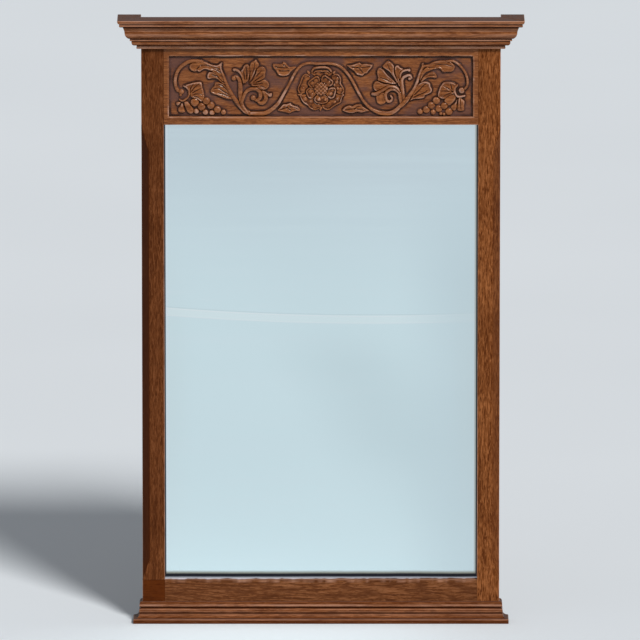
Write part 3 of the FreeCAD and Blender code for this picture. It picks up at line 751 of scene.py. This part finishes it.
def build_frieze(material):
    """The carved board: a relief in front, and the plain rebated board behind."""
    x, z, height, attributes = frieze_grid()
    y = front_y / MM + FIELD_DEPTH - height
    places = np.pad(np.stack([x, y, z], axis=-1) * MM, ((1, 1), (1, 1), (0, 0)), "edge")
    places[[0, -1], :, 1] = glass_front_y
    places[:, [0, -1], 1] = glass_front_y
    attributes = {name: np.pad(values, 1) for name, values in attributes.items()}
    mesh = grid_mesh("frieze_board_mesh", places, attributes)
    side = sight_half_width
    add_blocks(mesh, [
        ((-side, glass_front_y, plate_high.z + PLATE_CLEARANCE), (side, -BACKBOARD_DEPTH, frame_top)),
        ((-side, -BACKBOARD_DEPTH, frieze_foot + BACKBOARD_LAP), (side, 0, frame_top)),
    ])
    add_piece("frieze_board_carved", mesh, "frieze_board", material)


# The bottom rail, with its top arris worn and nicked. Heights and stations are in millimetres.

RAIL_STATION = 3.0
RAIL_HEIGHTS = (0, 12, 24, 36, 48, 60, 70, 78)
RAIL_CORE_INSET = 1 * MM
RAIL_CORE_DROP = 3 * MM


def build_rail(material):
    """The rail: its front, a worn top arris, and the sill that rises to the glass."""
    side = sight_half_width
    count = round(2 * side / MM / RAIL_STATION) + 1
    xs = np.linspace(-side, side, count)
    rough = value_noise((1, count), (1, 34), 21)[0] * 0.6 + value_noise((1, count), (1, 110), 22)[0] * 0.6
    radius = (1.7 + 1.2 * rough).clip(0.5) * MM
    plain = np.zeros(count)
    rows = []

    def add_row(y, z, wear_and_highlight=plain, pale=plain):
        rows.append((plain + y, plain + z, plain + wear_and_highlight, plain + pale))

    for height in RAIL_HEIGHTS:
        add_row(front_y, height * MM)
    for angle in np.linspace(0, math.pi / 2, 6):
        y = front_y + radius * (1 - math.cos(angle))
        add_row(y, rail_top - radius * (1 - math.sin(angle)), wear_and_highlight=0.15 + 0.65 * rough)
    # The sill's pale top is weathering with a painted sheen, wider at the left
    for share in (0.25, 0.5, 0.75, 1):
        y = front_y + share * (glass_front_y - front_y)
        pale = smooth_share(share + 0.25 * rough - 0.2 * xs / half_width, 0.58, 0.96)
        add_row(y, rail_top + share * SILL_RISE, 0.6 * (share < 0.5), pale)
    y, z, wear_and_highlight, pale = np.swapaxes(rows, 0, 1)
    places = np.stack([np.broadcast_to(xs, y.shape), y, z], axis=-1)
    attributes = {"wear_and_highlight": wear_and_highlight.clip(0), "pale": pale, "seed": RAIL_SEED}
    mesh = grid_mesh("bottom_rail_mesh", places, attributes, crease=40)
    core_front = front_y + RAIL_CORE_INSET
    add_blocks(mesh, [
        ((-side, glass_front_y, 0), (side, -BACKBOARD_DEPTH, plate_low.z)),
        ((-side, -BACKBOARD_DEPTH, 0), (side, 0, rail_top - BACKBOARD_LAP)),
        ((-side, core_front, 0), (side, glass_front_y, rail_top - RAIL_CORE_DROP)),
    ])
    add_piece("bottom_rail_worn", mesh, "bottom_rail", material)


# Mouldings: the section of each packed moulding, with its arrises softened, run along and mitred.
# Lengths are in millimetres.

FINE = 0.1
SOFTENING = 0.7
HOLLOW_REACH = 2.5
CHORD = 0.03
LONGEST_CHORD = 1.0
WAVINESS = 0.14
BACK_REACH = 1
SOIL_AND_SHADE_GAIN = 1.6
SOIL_AND_SHADE_FROM = 0.05
RUBBED_AND_LIT_FROM = 0.15
RUBBED_AND_LIT_OVER = 0.5
FRONT_STATIONS = 90
RETURN_STATIONS = 8

# How soiled each height of a moulding is, with painted shade, or below nought how worn, with painted
# highlights, by millimetres below its top
CORNICE_SOIL_AND_LIGHT = (
    (0, -0.15), (1.5, -0.1), (2.6, 0), (4.4, 0.1), (4.9, -0.6), (6, -0.6), (7, 0.45), (8.2, 0.5),
    (9, -0.4), (10.4, -0.6), (11.6, 0.5), (13, 0.75), (16, 0.65), (17.2, -0.4), (20.5, -0.2),
    (22.7, -0.6), (24.5, 0.3), (26.5, 0.15), (29, -0.5), (31, -0.45), (33, -0.25), (35.6, -0.2),
    (36.7, 0.5), (37.9, 0.5), (38.8, -0.4), (43, -0.3), (44.2, 0.65), (46, -0.1), (48.5, 0), (50.7, -0.4),
    (52.6, 0.5), (55.8, 0.7), (56.8, -1), (59.4, -1), (60.8, -0.6), (62, 0.5),
)
BASE_SOIL_AND_LIGHT = (
    (0, 0.15), (2.6, 0.25), (4.5, 0.3), (5.4, 0), (6.2, -0.8), (7.4, -1), (8.2, 0.2), (9, 0.25),
    (10, 0.1), (13.8, 0.45), (15.3, -0.5), (17, 0), (18.6, -0.1), (20, -0.3), (21.7, 0.45), (23.6, 0.65),
    (25.2, -0.3), (29.8, 0), (31.2, 0.4), (32.6, 0.1), (33.6, 0), (35, 0.35), (37, 0.4), (42, 0.4),
)


def section_outline(node):
    """The outline of a moulding's mitre face: how far each point stands out, and its height."""
    bm = bmesh.new()
    bm.from_mesh(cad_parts[node].data)
    bmesh.ops.remove_doubles(bm, verts=bm.verts, dist=CLOSE / 10)
    bmesh.ops.dissolve_limit(bm, angle_limit=math.radians(1), verts=bm.verts, edges=bm.edges)
    bm.normal_update()
    across = Vector((1, 1, 0)).normalized()
    mitre = max(bm.faces, key=lambda face: face.normal.dot(across))
    outline = np.array([(front_y - v.co.y, v.co.z) for v in mitre.verts]) / MM
    bm.free()
    p, z = outline.T
    turning = np.sum(p * np.roll(z, -1) - z * np.roll(p, -1))
    return outline if turning > 0 else outline[::-1]


def averaged(values, reach, weights):
    """Means over so many points to each side, round a closed line."""
    padded = np.concatenate([values[-reach:], values, values[:reach]])
    return np.stack([np.convolve(column, weights / weights.sum(), "valid") for column in padded.T], axis=1)


def moulding_section(node):
    """Softened points round a section, and how hollow the wood is at each of them."""
    outline = section_outline(node)
    closed = np.vstack([outline, outline[:1]])
    along = np.concatenate([[0], np.cumsum(np.hypot(*np.diff(closed, axis=0).T))])
    places = np.arange(0, along[-1], FINE)
    dense = np.stack([np.interp(places, along, column) for column in closed.T], axis=1)
    reach = round(SOFTENING / FINE)
    soft = averaged(dense, reach, np.hanning(2 * reach + 3)[1:-1])
    reach = round(HOLLOW_REACH / FINE)
    towards = averaged(soft, reach, np.ones(2 * reach + 1)) - soft
    tangent = np.roll(soft, -1, axis=0) - np.roll(soft, 1, axis=0)
    tangent /= np.hypot(*tangent.T)[:, None]
    hollow = towards[:, 0] * tangent[:, 1] - towards[:, 1] * tangent[:, 0]
    kept = [0]
    for index in range(2, len(soft)):
        start = soft[kept[-1]]
        chord = soft[index] - start
        length = math.hypot(*chord)
        passed = soft[kept[-1]:index] - start
        off = np.abs(passed[:, 0] * chord[1] - passed[:, 1] * chord[0]).max() / max(length, FINE)
        if length > LONGEST_CHORD or off > CHORD:
            kept.append(index - 1)
    return soft[kept], hollow[kept]


def moulding(node, section, soil_and_light, stations, seed, place, material):
    """A run of moulding. place gives X and Y from a point's reach and its share of the run."""
    points, hollow = section
    shape = (stations, len(points))
    share = np.broadcast_to(np.linspace(0, 1, stations)[:, None], shape)
    ends = np.sqrt(np.sin(math.pi * share).clip(0))
    dip = (value_noise(shape, (stations // 4, 9), seed) + 1) / 2 * ends
    in_front = points[:, 0] > BACK_REACH
    x, y = place(points[:, 0] - WAVINESS * dip * in_front, share)
    places = np.stack([x, y, np.broadcast_to(points[:, 1], shape)], axis=-1) * MM
    # The hollows get soil with painted shade, and the crests wear with painted highlights, from the
    # section and the table
    below = points[:, 1].max() - points[:, 1]
    soil_and_light_here = np.interp(below, *np.transpose(soil_and_light)) * in_front
    held_soil_and_shade = SOIL_AND_SHADE_GAIN * (hollow - SOIL_AND_SHADE_FROM)
    soil_and_shade = np.where(soil_and_light_here < 0, held_soil_and_shade + soil_and_light_here, np.maximum(held_soil_and_shade, soil_and_light_here))
    rubbed_and_lit = (-hollow - RUBBED_AND_LIT_FROM) / RUBBED_AND_LIT_OVER * (1 - 2 * soil_and_light_here).clip(0, 1)
    worn_and_lit = np.maximum(rubbed_and_lit, -soil_and_light_here).clip(0, 1)
    attributes = {"soil_and_shade": soil_and_shade.clip(0), "wear_and_highlight": worn_and_lit, "seed": seed * SEED_STEP}
    mesh = grid_mesh(node + "_mesh", places, attributes, closed=True, crease=50)
    bm = bmesh.new()
    bm.from_mesh(mesh)
    bm.verts.ensure_lookup_table()
    count = len(points)
    for first in (0, (stations - 1) * count):
        bm.faces.new(bm.verts[first:first + count])
    bmesh.ops.recalc_face_normals(bm, faces=bm.faces)
    bm.to_mesh(mesh)
    bm.free()
    add_piece(node + "_run", mesh, node, material)


def build_mouldings(name, front_node, soil_and_light, front_material, shaded_return_material, seed):
    """A front run and its two returns, mitred to it."""
    section = moulding_section(front_node)
    half = half_width / MM
    front = front_y / MM

    def along_front(reach, share):
        return (2 * share - 1) * (half + reach), front - reach

    moulding(front_node, section, soil_and_light, FRONT_STATIONS, seed, along_front, front_material)
    for hand, side in (("left", -1), ("right", 1)):
        def along_side(reach, share, side=side):
            return side * (half + reach), (front - reach) * (1 - share)

        seed += 1
        node = f"{name}_return_{hand}"
        moulding(node, section, soil_and_light, RETURN_STATIONS, seed, along_side, shaded_return_material)


# Other pieces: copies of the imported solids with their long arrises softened

SEAM_WIDTH = 0.3 * MM
LONG_ARRIS = 18 * MM
SHARP_TURN = 0.3
SOFT_ARRIS = 1
SEAM = 2
CHAMFER_WIDTH = 14 * MM
# Painted shade on the stiles' chamfers, more on the left one, which faces from the light
CHAMFER_SHADE = {"left_stile": 0.45, "right_stile": 0.28}


def is_sharp(edge):
    return edge.is_manifold and edge.calc_face_angle_signed() > SHARP_TURN


def at_wall(edge):
    return all(vert.co.y > -CLOSE for vert in edge.verts)


def on_seam(edge):
    """Whether an edge lies on a flush joint line of the frame's front."""
    places = [vert.co for vert in edge.verts]
    if any(abs(place.y - front_y) > CLOSE for place in places):
        return False
    height = (places[0].z + places[1].z) / 2
    shoulder = all(abs(abs(place.x) - sight_half_width) < CLOSE for place in places)
    butt = all(abs(place.z - patch_top) < CLOSE for place in places)
    return butt or shoulder and (height > frieze_foot or height < rail_top)


def on_chamfer(face):
    """Whether a face lies on the slope of a stile's chamfer, or on its inner arris."""
    inward = half_width - abs(face.calc_center_median().x)
    return 0.1 < abs(face.normal.x) < 0.95 and 0.8 * MM < inward < CHAMFER_WIDTH + 1.5 * MM


def bevelled(bm, edges, kind, width, segments, profile):
    """Softens edges, and marks the new faces as one kind."""
    made = bmesh.ops.bevel(
        bm, geom=edges, offset=width, offset_type="OFFSET", segments=segments, profile=profile,
        affect="EDGES", clamp_overlap=False,
    )
    for face in made["faces"]:
        face[bm.faces.layers.int["kind"]] = kind


def dressed_copy(node, material, softening, seed):
    """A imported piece, with its long arrises softened and its seams opened a little."""
    bm = bmesh.new()
    bm.from_mesh(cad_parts[node].data)
    bmesh.ops.remove_doubles(bm, verts=bm.verts, dist=CLOSE / 10)
    verts = [vert for vert in bm.verts if vert.co.y < -CLOSE]
    edges = [edge for edge in bm.edges if not at_wall(edge)]
    bmesh.ops.dissolve_limit(bm, angle_limit=math.radians(1), verts=verts, edges=edges)
    for height in (rail_top, frieze_foot):
        parts = bm.verts[:] + bm.edges[:] + bm.faces[:]
        bmesh.ops.bisect_plane(bm, geom=parts, plane_co=(0, 0, height), plane_no=(0, 0, 1), dist=CLOSE)
    kind = bm.faces.layers.int.new("kind")
    arrises = [edge for edge in bm.edges if is_sharp(edge) and not on_seam(edge) and not at_wall(edge)]
    arrises = [edge for edge in arrises if edge.calc_length() > LONG_ARRIS]
    bevelled(bm, arrises, SOFT_ARRIS, softening, 2, 0.6)
    seams = [edge for edge in bm.edges if is_sharp(edge) and on_seam(edge)]
    bevelled(bm, seams, SEAM, SEAM_WIDTH, 1, 0.5)
    wear_and_highlight, soil_and_shade, seeds = [bm.loops.layers.float.new(name) for name in ("wear_and_highlight", "soil_and_shade", "seed")]
    bm.normal_update()
    # Seams get dark joints, and the chamfers painted shade
    for face in bm.faces:
        chamfered = on_chamfer(face)
        for loop in face.loops:
            loop[wear_and_highlight] = float(face[kind] == SOFT_ARRIS and not chamfered)
            loop[soil_and_shade] = max(1.2 * (face[kind] == SEAM), CHAMFER_SHADE.get(node, 0) * chamfered)
            loop[seeds] = seed
    mesh = bpy.data.meshes.new(node + "_mesh")
    bm.to_mesh(mesh)
    bm.free()
    mesh.set_sharp_from_angle(angle=math.radians(35))
    # The faces towards the wall stay flat, so that their soft arrises don't bend the light on them.
    for face in mesh.polygons:
        face.use_smooth = face.normal.y < 0.99
    add_piece(node + "_dressed", mesh, node, material)


# Materials

def colour(red, green, blue):
    return (red, green, blue, 1.0)


# Colours for soil and wear, which also paint shade in hollows and highlights on crests, and a painted
# glint
GRIME_AND_SHADE = colour(0.016, 0.004, 0.0018)
SOAKED_AND_SHADED = colour(0.060, 0.0125, 0.002)
WORN_AND_HIGHLIT = colour(0.47, 0.25, 0.165)
PAINTED_GLINT = colour(0.68, 0.47, 0.40)
DUST = colour(0.092, 0.046, 0.036)
SILL_WEATHER_AND_SHEEN = colour(0.66, 0.64, 0.70)
GROUND = colour(0.10, 0.043, 0.034)
WARM_SHEEN = colour(1.0, 0.86, 0.76)

# The axes that grain runs along, and the stretch of a pattern with no grain
ALONG, OUTWARDS, UPRIGHT = range(3)
EVEN = (1, 1, 1)


class Look:
    """A material in the making: its nodes, its shader, and the colour laid down so far."""

    def __init__(self, name, body):
        self.material = bpy.data.materials.new(name)
        self.material.use_nodes = True
        self.tree = self.material.node_tree
        self.shader = self.tree.nodes["Principled BSDF"]
        self.body = body

    def fill(self, node, values):
        """Sets or links a node's inputs, given by name or number."""
        for key, value in values.items():
            if isinstance(value, bpy.types.NodeSocket):
                self.tree.links.new(value, node.inputs[key])
            else:
                node.inputs[key].default_value = value

    def add(self, kind, values, **settings):
        """A new node's outputs."""
        node = self.tree.nodes.new("ShaderNode" + kind)
        for key, value in settings.items():
            setattr(node, key, value)
        self.fill(node, values)
        return node.outputs

    def math(self, operation, a, b=0.0):
        return self.add("Math", {0: a, 1: b}, operation=operation)[0]

    def times(self, a, b):
        return self.math("MULTIPLY", a, b)

    def plus(self, a, b):
        return self.math("ADD", a, b)

    def minus(self, a, b):
        return self.math("SUBTRACT", a, b)

    def place(self):
        return self.add("TexCoord", {})["Object"]

    def attribute(self, name):
        return self.add("Attribute", {}, attribute_name=name)["Fac"]

    def parted(self, vector):
        """The X, Y and Z of a vector."""
        return self.add("SeparateXYZ", {"Vector": vector})

    def noise(self, stretch, scale, detail=3.0, roughness=0.55, distortion=0.0):
        """Noise over the piece's own stretched coordinates, moved by its own seed."""
        moved = self.add("VectorMath", {0: self.attribute("seed"), 1: SEED_OFFSET}, operation="MULTIPLY")
        place = self.add("VectorMath", {0: self.place(), 1: moved[0]}, operation="ADD")
        place = self.add("Mapping", {"Vector": place[0], "Scale": stretch})["Vector"]
        values = {
            "Vector": place, "Scale": scale, "Detail": detail, "Roughness": roughness,
            "Distortion": distortion,
        }
        return self.add("TexNoise", values)["Fac"]

    def spread(self, value, low, high, to_low=0.0, to_high=1.0):
        """A value's stretch from low to high, as a new range."""
        values = {"Value": value, "From Min": low, "From Max": high, "To Min": to_low, "To Max": to_high}
        return self.add("MapRange", values, interpolation_type="SMOOTHSTEP")["Result"]

    def ridge(self, value, middle, reach, strength):
        """A soft line where a value passes its middle."""
        return self.spread(self.math("ABSOLUTE", self.minus(value, middle)), 0, reach, strength, 0)

    def lay(self, share, tint):
        """Lays a colour over the one so far."""
        self.body = self.add("Mix", {0: share, 6: self.body, 7: tint}, data_type="RGBA")[2]

    def finished(self, values, bumps=None):
        """The material, with the shader's values and a bump node's."""
        if bumps:
            self.fill(self.shader, {"Normal": self.add("Bump", bumps)["Normal"]})
        self.fill(self.shader, {"Base Color": self.body} | values)
        return self.material


def stretched(axis, along):
    """Scales that draw a pattern out along one axis."""
    return tuple(along if index == axis else 1.0 for index in range(3))


def oak(
    name, axis, tone, fleck=0.6, figure_share=0.8, ends=0.0, rings=0.0, dust=0.0, gloss=0.36, shine=0.1
):
    """Old waxed oak of one tone, with its grain along one axis. ends darkens it towards both ends."""
    look = Look(name, colour(*tone))
    times, spread = look.times, look.spread
    deep = colour(tone[0] * 0.40, tone[1] * 0.31, tone[2] * 0.22)
    pale = colour(tone[0] * 1.7, tone[1] * 2.0, tone[2] * 2.6)
    figure = look.noise(stretched(axis, 0.07), 120, 4, 0.6, 1.3)
    dashes = look.noise(stretched(axis, 0.12), 560, 3, 0.65, 0.6)
    pores = look.noise(stretched(axis, 0.06), 1100, 2, 0.5)
    stain = look.noise(EVEN, 11, 3, 0.55)
    look.lay(spread(figure, 0.36, 0.5, figure_share, 0), deep)
    look.lay(spread(figure, 0.52, 0.66, 0, figure_share * 0.7), pale)
    look.lay(spread(dashes, 0.51, 0.62, 0, fleck), pale)
    look.lay(spread(dashes, 0.38, 0.48, fleck, 0), deep)
    look.lay(spread(pores, 0.56, 0.66, 0, 0.6), deep)
    look.lay(spread(stain, 0.45, 0.75, 0, 0.35), deep)
    if rings:
        # Growth rings cut at a slant: level lines of a soft slow pattern.
        slow = look.noise(stretched(axis, 0.11), 15, 2, 0.4, 0.4)
        look.lay(spread(look.math("SINE", times(slow, 190.0)), 0.25, 1.0, 0, rings), deep)
    if ends:
        beside = look.math("ABSOLUTE", look.parted(look.place())[0])
        look.lay(spread(beside, 0.1, 0.42, 0, ends), deep)
    # Soil with painted shade in the hollows, and rubbed crests with painted highlights and a painted glint
    soil_and_shade = look.attribute("soil_and_shade")
    crests = times(soil_and_shade, -1.0)
    patches = look.noise(stretched(axis, 0.5), 30, 3, 0.6)
    look.lay(spread(soil_and_shade, 0.05, 0.55, 0, 0.9), SOAKED_AND_SHADED)
    look.lay(spread(soil_and_shade, 0.35, 0.95, 0, 0.92), GRIME_AND_SHADE)
    look.lay(times(spread(crests, 0.4, 1.5, 0, 0.36), spread(patches, 0.4, 0.62, 0.3, 1)), WORN_AND_HIGHLIT)
    look.lay(times(spread(crests, 0.8, 1.7, 0, 0.24), spread(patches, 0.48, 0.6)), PAINTED_GLINT)
    # The dull ground of the carving, chipped arrises that also carry painted highlights, and the pale
    # sill, weathered and with a painted sheen
    bare = times(look.attribute("ground"), spread(patches, 0.36, 0.56, 1, 0.1))
    chips = look.noise(stretched(axis, 0.14), 90, 3, 0.6)
    look.lay(times(bare, 0.85), GROUND)
    look.lay(times(look.attribute("wear_and_highlight"), spread(chips, 0.36, 0.6, 0.35, 1.0)), WORN_AND_HIGHLIT)
    look.lay(look.attribute("pale"), SILL_WEATHER_AND_SHEEN)
    if dust:
        facing = look.parted(look.add("NewGeometry", {})["Normal"])[2]
        lying = spread(facing, 0.8, 1.0, 0, dust)
        look.lay(times(lying, spread(chips, 0.2, 0.6, 0.7, 1)), DUST)
    rough = look.plus(spread(dashes, 0.35, 0.7, gloss - 0.05, gloss + 0.08), times(bare, 0.25))
    return look.finished(
        {"Roughness": rough, "Specular IOR Level": shine, "Specular Tint": WARM_SHEEN},
        {"Height": look.minus(dashes, pores), "Strength": 0.3, "Distance": 0.35 * MM},
    )


def pine():
    """Unwaxed softwood, greyed with age."""
    look = Look("aged_pine", colour(0.26, 0.15, 0.075))
    broad = look.noise(stretched(UPRIGHT, 0.05), 40, 3, 0.6, 1.0)
    rings = look.noise(stretched(UPRIGHT, 0.03), 220, 3, 0.6, 0.8)
    stain = look.noise(EVEN, 7, 4, 0.6)
    look.lay(look.spread(broad, 0.35, 0.7), colour(0.42, 0.27, 0.15))
    look.lay(look.spread(rings, 0.5, 0.7, 0, 0.55), colour(0.2, 0.1, 0.045))
    look.lay(look.spread(stain, 0.48, 0.75, 0, 0.5), colour(0.13, 0.09, 0.06))
    return look.finished({"Roughness": 0.8}, {"Height": rings, "Strength": 0.3, "Distance": 0.5 * MM})


# The mirror's faint pale band, a painted reflection, which sags in the middle and rises at the left
BAND_LOW = 600.5 * MM
BAND_HIGH = 615.6 * MM
BAND_SAG = 0.1
BAND_TILT = -0.02


def mirror():
    """Silvered plate whose colour carries painted reflections: paler towards its foot, the soft shapes of
    a room, and what its rebate shows.
    """
    look = Look("mirror_plate_silver", colour(0.775, 0.93, 0.96))
    times, spread, ridge = look.times, look.spread, look.ridge
    across, _, height = look.parted(look.place())
    beside = look.math("ABSOLUTE", across)
    look.lay(spread(height, 0.6, plate_high.z), colour(0.70, 0.805, 0.85))
    haze = look.noise((1.2, 1, 40), 1.6, 3, 0.6, 0.3)
    look.lay(spread(haze, 0.4, 0.75, 0, 0.25), colour(0.80, 0.93, 0.965))
    # The band's painted reflection: the band, its two bright edges, and the streaks and the dark line over
    # it
    level = look.minus(height, times(across, look.plus(times(across, BAND_SAG), BAND_TILT)))
    near_band = look.plus(ridge(level, 650 * MM, 55 * MM, 0.3), 0.1)
    streaks = look.noise((5, 1, 330), 1.0, 3, 0.6)
    look.lay(times(spread(streaks, 0.58, 0.72), near_band), colour(0.95, 0.98, 1.0))
    above_low = spread(level, BAND_LOW - 1 * MM, BAND_LOW + 1.5 * MM)
    below_high = spread(level, BAND_HIGH - 1.5 * MM, BAND_HIGH + 1 * MM, 1, 0)
    look.lay(times(look.math("MINIMUM", above_low, below_high), 0.55), colour(0.9, 1.0, 1.0))
    for place in (BAND_LOW, BAND_HIGH - 1 * MM):
        look.lay(ridge(level, place, 1.5 * MM, 0.5), colour(1.0, 1.0, 1.0))
    look.lay(ridge(level, BAND_HIGH + 1.8 * MM, 1.4 * MM, 0.2), colour(0.35, 0.42, 0.45))
    # Soft shapes of the room: a slanting shade below the band, a dimmer right side, and warm sides
    slant = look.plus(height, times(across, 1.76))
    shade = times(ridge(slant, 0.64, 0.36, 0.45), spread(height, 0.08, 0.4))
    look.lay(times(shade, spread(height, 0.5, 0.62, 1, 0.2)), colour(0.64, 0.77, 0.80))
    dim = times(spread(across, 0.13, 0.29), spread(height, 0.7, 1.0, 0.7, 0))
    look.lay(dim, colour(0.665, 0.79, 0.83))
    edge = sight_half_width - 2.8 * MM
    look.lay(times(spread(beside, 0.24, edge), ridge(height, 0.46, 0.42, 0.12)), colour(0.62, 0.66, 0.62))
    # Painted reflections of the rebate: a pale strip by both sight edges, and a dark one on the right
    look.lay(spread(beside, edge - 6 * MM, edge - 3 * MM, 0, 0.3), colour(0.92, 0.93, 1.0))
    look.lay(spread(across, edge - 5 * MM, edge - 1 * MM, 0, 0.6), colour(0.3, 0.3, 0.22))
    # Above the sill: the sill's own reflection, the dark of the rebate, and the pale foot
    wobble = times(look.noise((1, 1, 0), 9, 2, 0.5), 1.5 * MM)
    above = look.minus(height, wobble)
    look.lay(spread(above, sill_top + 9 * MM, sill_top + 15.5 * MM, 0.95, 0), colour(0.28, 0.27, 0.22))
    gap = spread(above, sill_top + 7 * MM, sill_top + 9.2 * MM, 0.97, 0)
    shadow = spread(beside, edge - 0.5 * MM, edge + 0.5 * MM, 0, 0.93)
    look.lay(look.math("MAXIMUM", gap, shadow), colour(0.012, 0.012, 0.02))
    look.lay(spread(above, sill_top + 0.8 * MM, sill_top + 2.4 * MM, 0.8, 0), colour(0.4, 0.4, 0.44))
    waves = look.noise((0.6, 1, 6), 3.0, 2, 0.5)
    return look.finished(
        {"Metallic": 0.95, "Roughness": 0.03}, {"Height": waves, "Strength": 0.1, "Distance": 1 * MM}
    )


def metal(name, base, tarnish, roughness):
    """Old metal with spots of tarnish."""
    look = Look(name, colour(*base))
    spots = look.noise(EVEN, 260, 4, 0.65)
    look.lay(look.spread(spots, 0.42, 0.66), colour(*tarnish))
    rough = look.spread(spots, 0.35, 0.7, roughness, roughness + 0.25)
    return look.finished(
        {"Metallic": 1.0, "Roughness": rough}, {"Height": spots, "Strength": 0.25, "Distance": 0.2 * MM}
    )


def floor_material():
    look = Look("pale_floor", colour(0.79, 0.84, 0.89))
    look.lay(look.spread(look.noise(EVEN, 0.8, 2, 0.5), 0.3, 0.7), colour(0.81, 0.86, 0.91))
    return look.finished({"Roughness": 0.9})


# Floor, light and camera

FLOOR_SIZE = 400
CAMERA_DISTANCE = 25.0
CAMERA_ELEVATION = math.radians(12)
VIEW_HEIGHT = 1.2544
VIEW_CENTRE = Vector((-0.0018, -0.027, 0.6078))
SENSOR = 36.0
SUN_PLACE = Vector((1.45, -2.6, 3.2))
SUN_TARGET = Vector((0, 0, 0.6))


def build_floor():
    bm = bmesh.new()
    bmesh.ops.create_grid(bm, x_segments=12, y_segments=12, size=FLOOR_SIZE)
    mesh = bpy.data.meshes.new("floor_mesh")
    bm.to_mesh(mesh)
    bm.free()
    mesh.materials.append(floor_material())
    floor = new_object("floor", mesh)


def facing(direction):
    return direction.to_track_quat("-Z", "Y").to_euler()


def build_camera():
    camera = bpy.data.cameras.new("camera")
    camera.sensor_width = SENSOR
    camera.lens = SENSOR * CAMERA_DISTANCE / VIEW_HEIGHT
    camera.clip_start = 0.1
    camera.clip_end = 200
    holder = new_object("camera", camera)
    back = Vector((0, -math.cos(CAMERA_ELEVATION), math.sin(CAMERA_ELEVATION)))
    holder.location = VIEW_CENTRE + back * CAMERA_DISTANCE
    holder.rotation_euler = facing(-back)
    bpy.context.scene.camera = holder


def build_light():
    world = bpy.data.worlds.new("studio")
    world.use_nodes = True
    background = world.node_tree.nodes["Background"]
    background.inputs["Color"].default_value = colour(0.93, 0.96, 1.0)
    background.inputs["Strength"].default_value = 0.26
    bpy.context.scene.world = world
    sun = bpy.data.lights.new("key", "SUN")
    sun.energy = 2.85
    sun.angle = math.radians(14)
    sun.color = (1.0, 0.98, 0.95)
    holder = new_object("key", sun)
    holder.location = SUN_PLACE
    holder.rotation_euler = facing(SUN_TARGET - holder.location)
    view = bpy.context.scene.view_settings
    view.view_transform = "Standard"
    view.look = "None"


# The scene

def cover(node, material):
    """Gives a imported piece, shown as it is, its own material."""
    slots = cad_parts[node].data.materials
    slots.clear()
    slots.append(material)


def build():
    moulded = dict(fleck=0.6, figure_share=0.95, ends=0.3, rings=0.6, dust=0.85, gloss=0.3, shine=0.06)
    # The stiles are lit and shaded copies of one oak: the left's darker tone is painted shade, partly a
    # real difference in the wood
    right_stile = oak("oak_right_stile_lit", UPRIGHT, (0.190, 0.058, 0.0145), 0.95, 0.7, shine=0.06)
    left_stile = oak("oak_left_stile_shaded", UPRIGHT, (0.116, 0.034, 0.0092), 0.65, 0.6, shine=0.05)
    board = oak(
        "oak_frieze", ALONG, (0.240, 0.077, 0.020), 0.5, 0.7, 0.25, rings=0.3, gloss=0.24, shine=0.26
    )
    rail = oak("oak_rail", ALONG, (0.162, 0.054, 0.0165), 0.6, 0.9, 0.3, rings=0.5, dust=0.2)
    crown = oak("oak_cornice", ALONG, (0.275, 0.091, 0.027), **moulded)
    plinth = oak("oak_base", ALONG, (0.205, 0.066, 0.020), **moulded)
    # The returns' darker tone is painted shade on the faces that turn to the sides
    returned_shaded = oak("oak_return_shaded", OUTWARDS, (0.115, 0.036, 0.009), 0.4, 0.8, dust=0.6)
    patch = oak("oak_patch", ALONG, (0.092, 0.020, 0.0025), 0.2, 0.35, shine=0.05)
    softwood = pine()
    brass = metal("aged_brass", (0.52, 0.36, 0.15), (0.2, 0.13, 0.06), 0.35)
    iron = metal("dark_iron", (0.2, 0.18, 0.16), (0.08, 0.05, 0.035), 0.45)

    build_frieze(board)
    build_rail(rail)
    build_mouldings("cornice", "cornice_front", CORNICE_SOIL_AND_LIGHT, crown, returned_shaded, 2)
    build_mouldings("base", "base_moulding_front", BASE_SOIL_AND_LIGHT, plinth, returned_shaded, 6)
    dressed = [
        ("left_stile", "oak", left_stile, 0.9), ("right_stile", "oak", right_stile, 0.9),
        ("left_stile_patch", "oak_patch", patch, 0.6), ("backboard_left", "pine", softwood, 0.4),
        ("backboard_middle", "pine", softwood, 0.4), ("backboard_right", "pine", softwood, 0.4),
        ("cornice_glue_blocks", "pine", softwood, 0.6), ("glazing_blocks", "pine", softwood, 0.4),
    ]
    for index, (node, slot, material, softening) in enumerate(dressed):
        dressed_copy(node, material, softening * MM, index * SEED_STEP)
    cover("mirror_plate", mirror())
    for node in ("hanger_plate_left", "hanger_plate_right"):
        cover(node, brass)
    for node in ("backboard_nails", "hanger_screws"):
        cover(node, iron)

    build_floor()
    build_camera()
    build_light()


build()
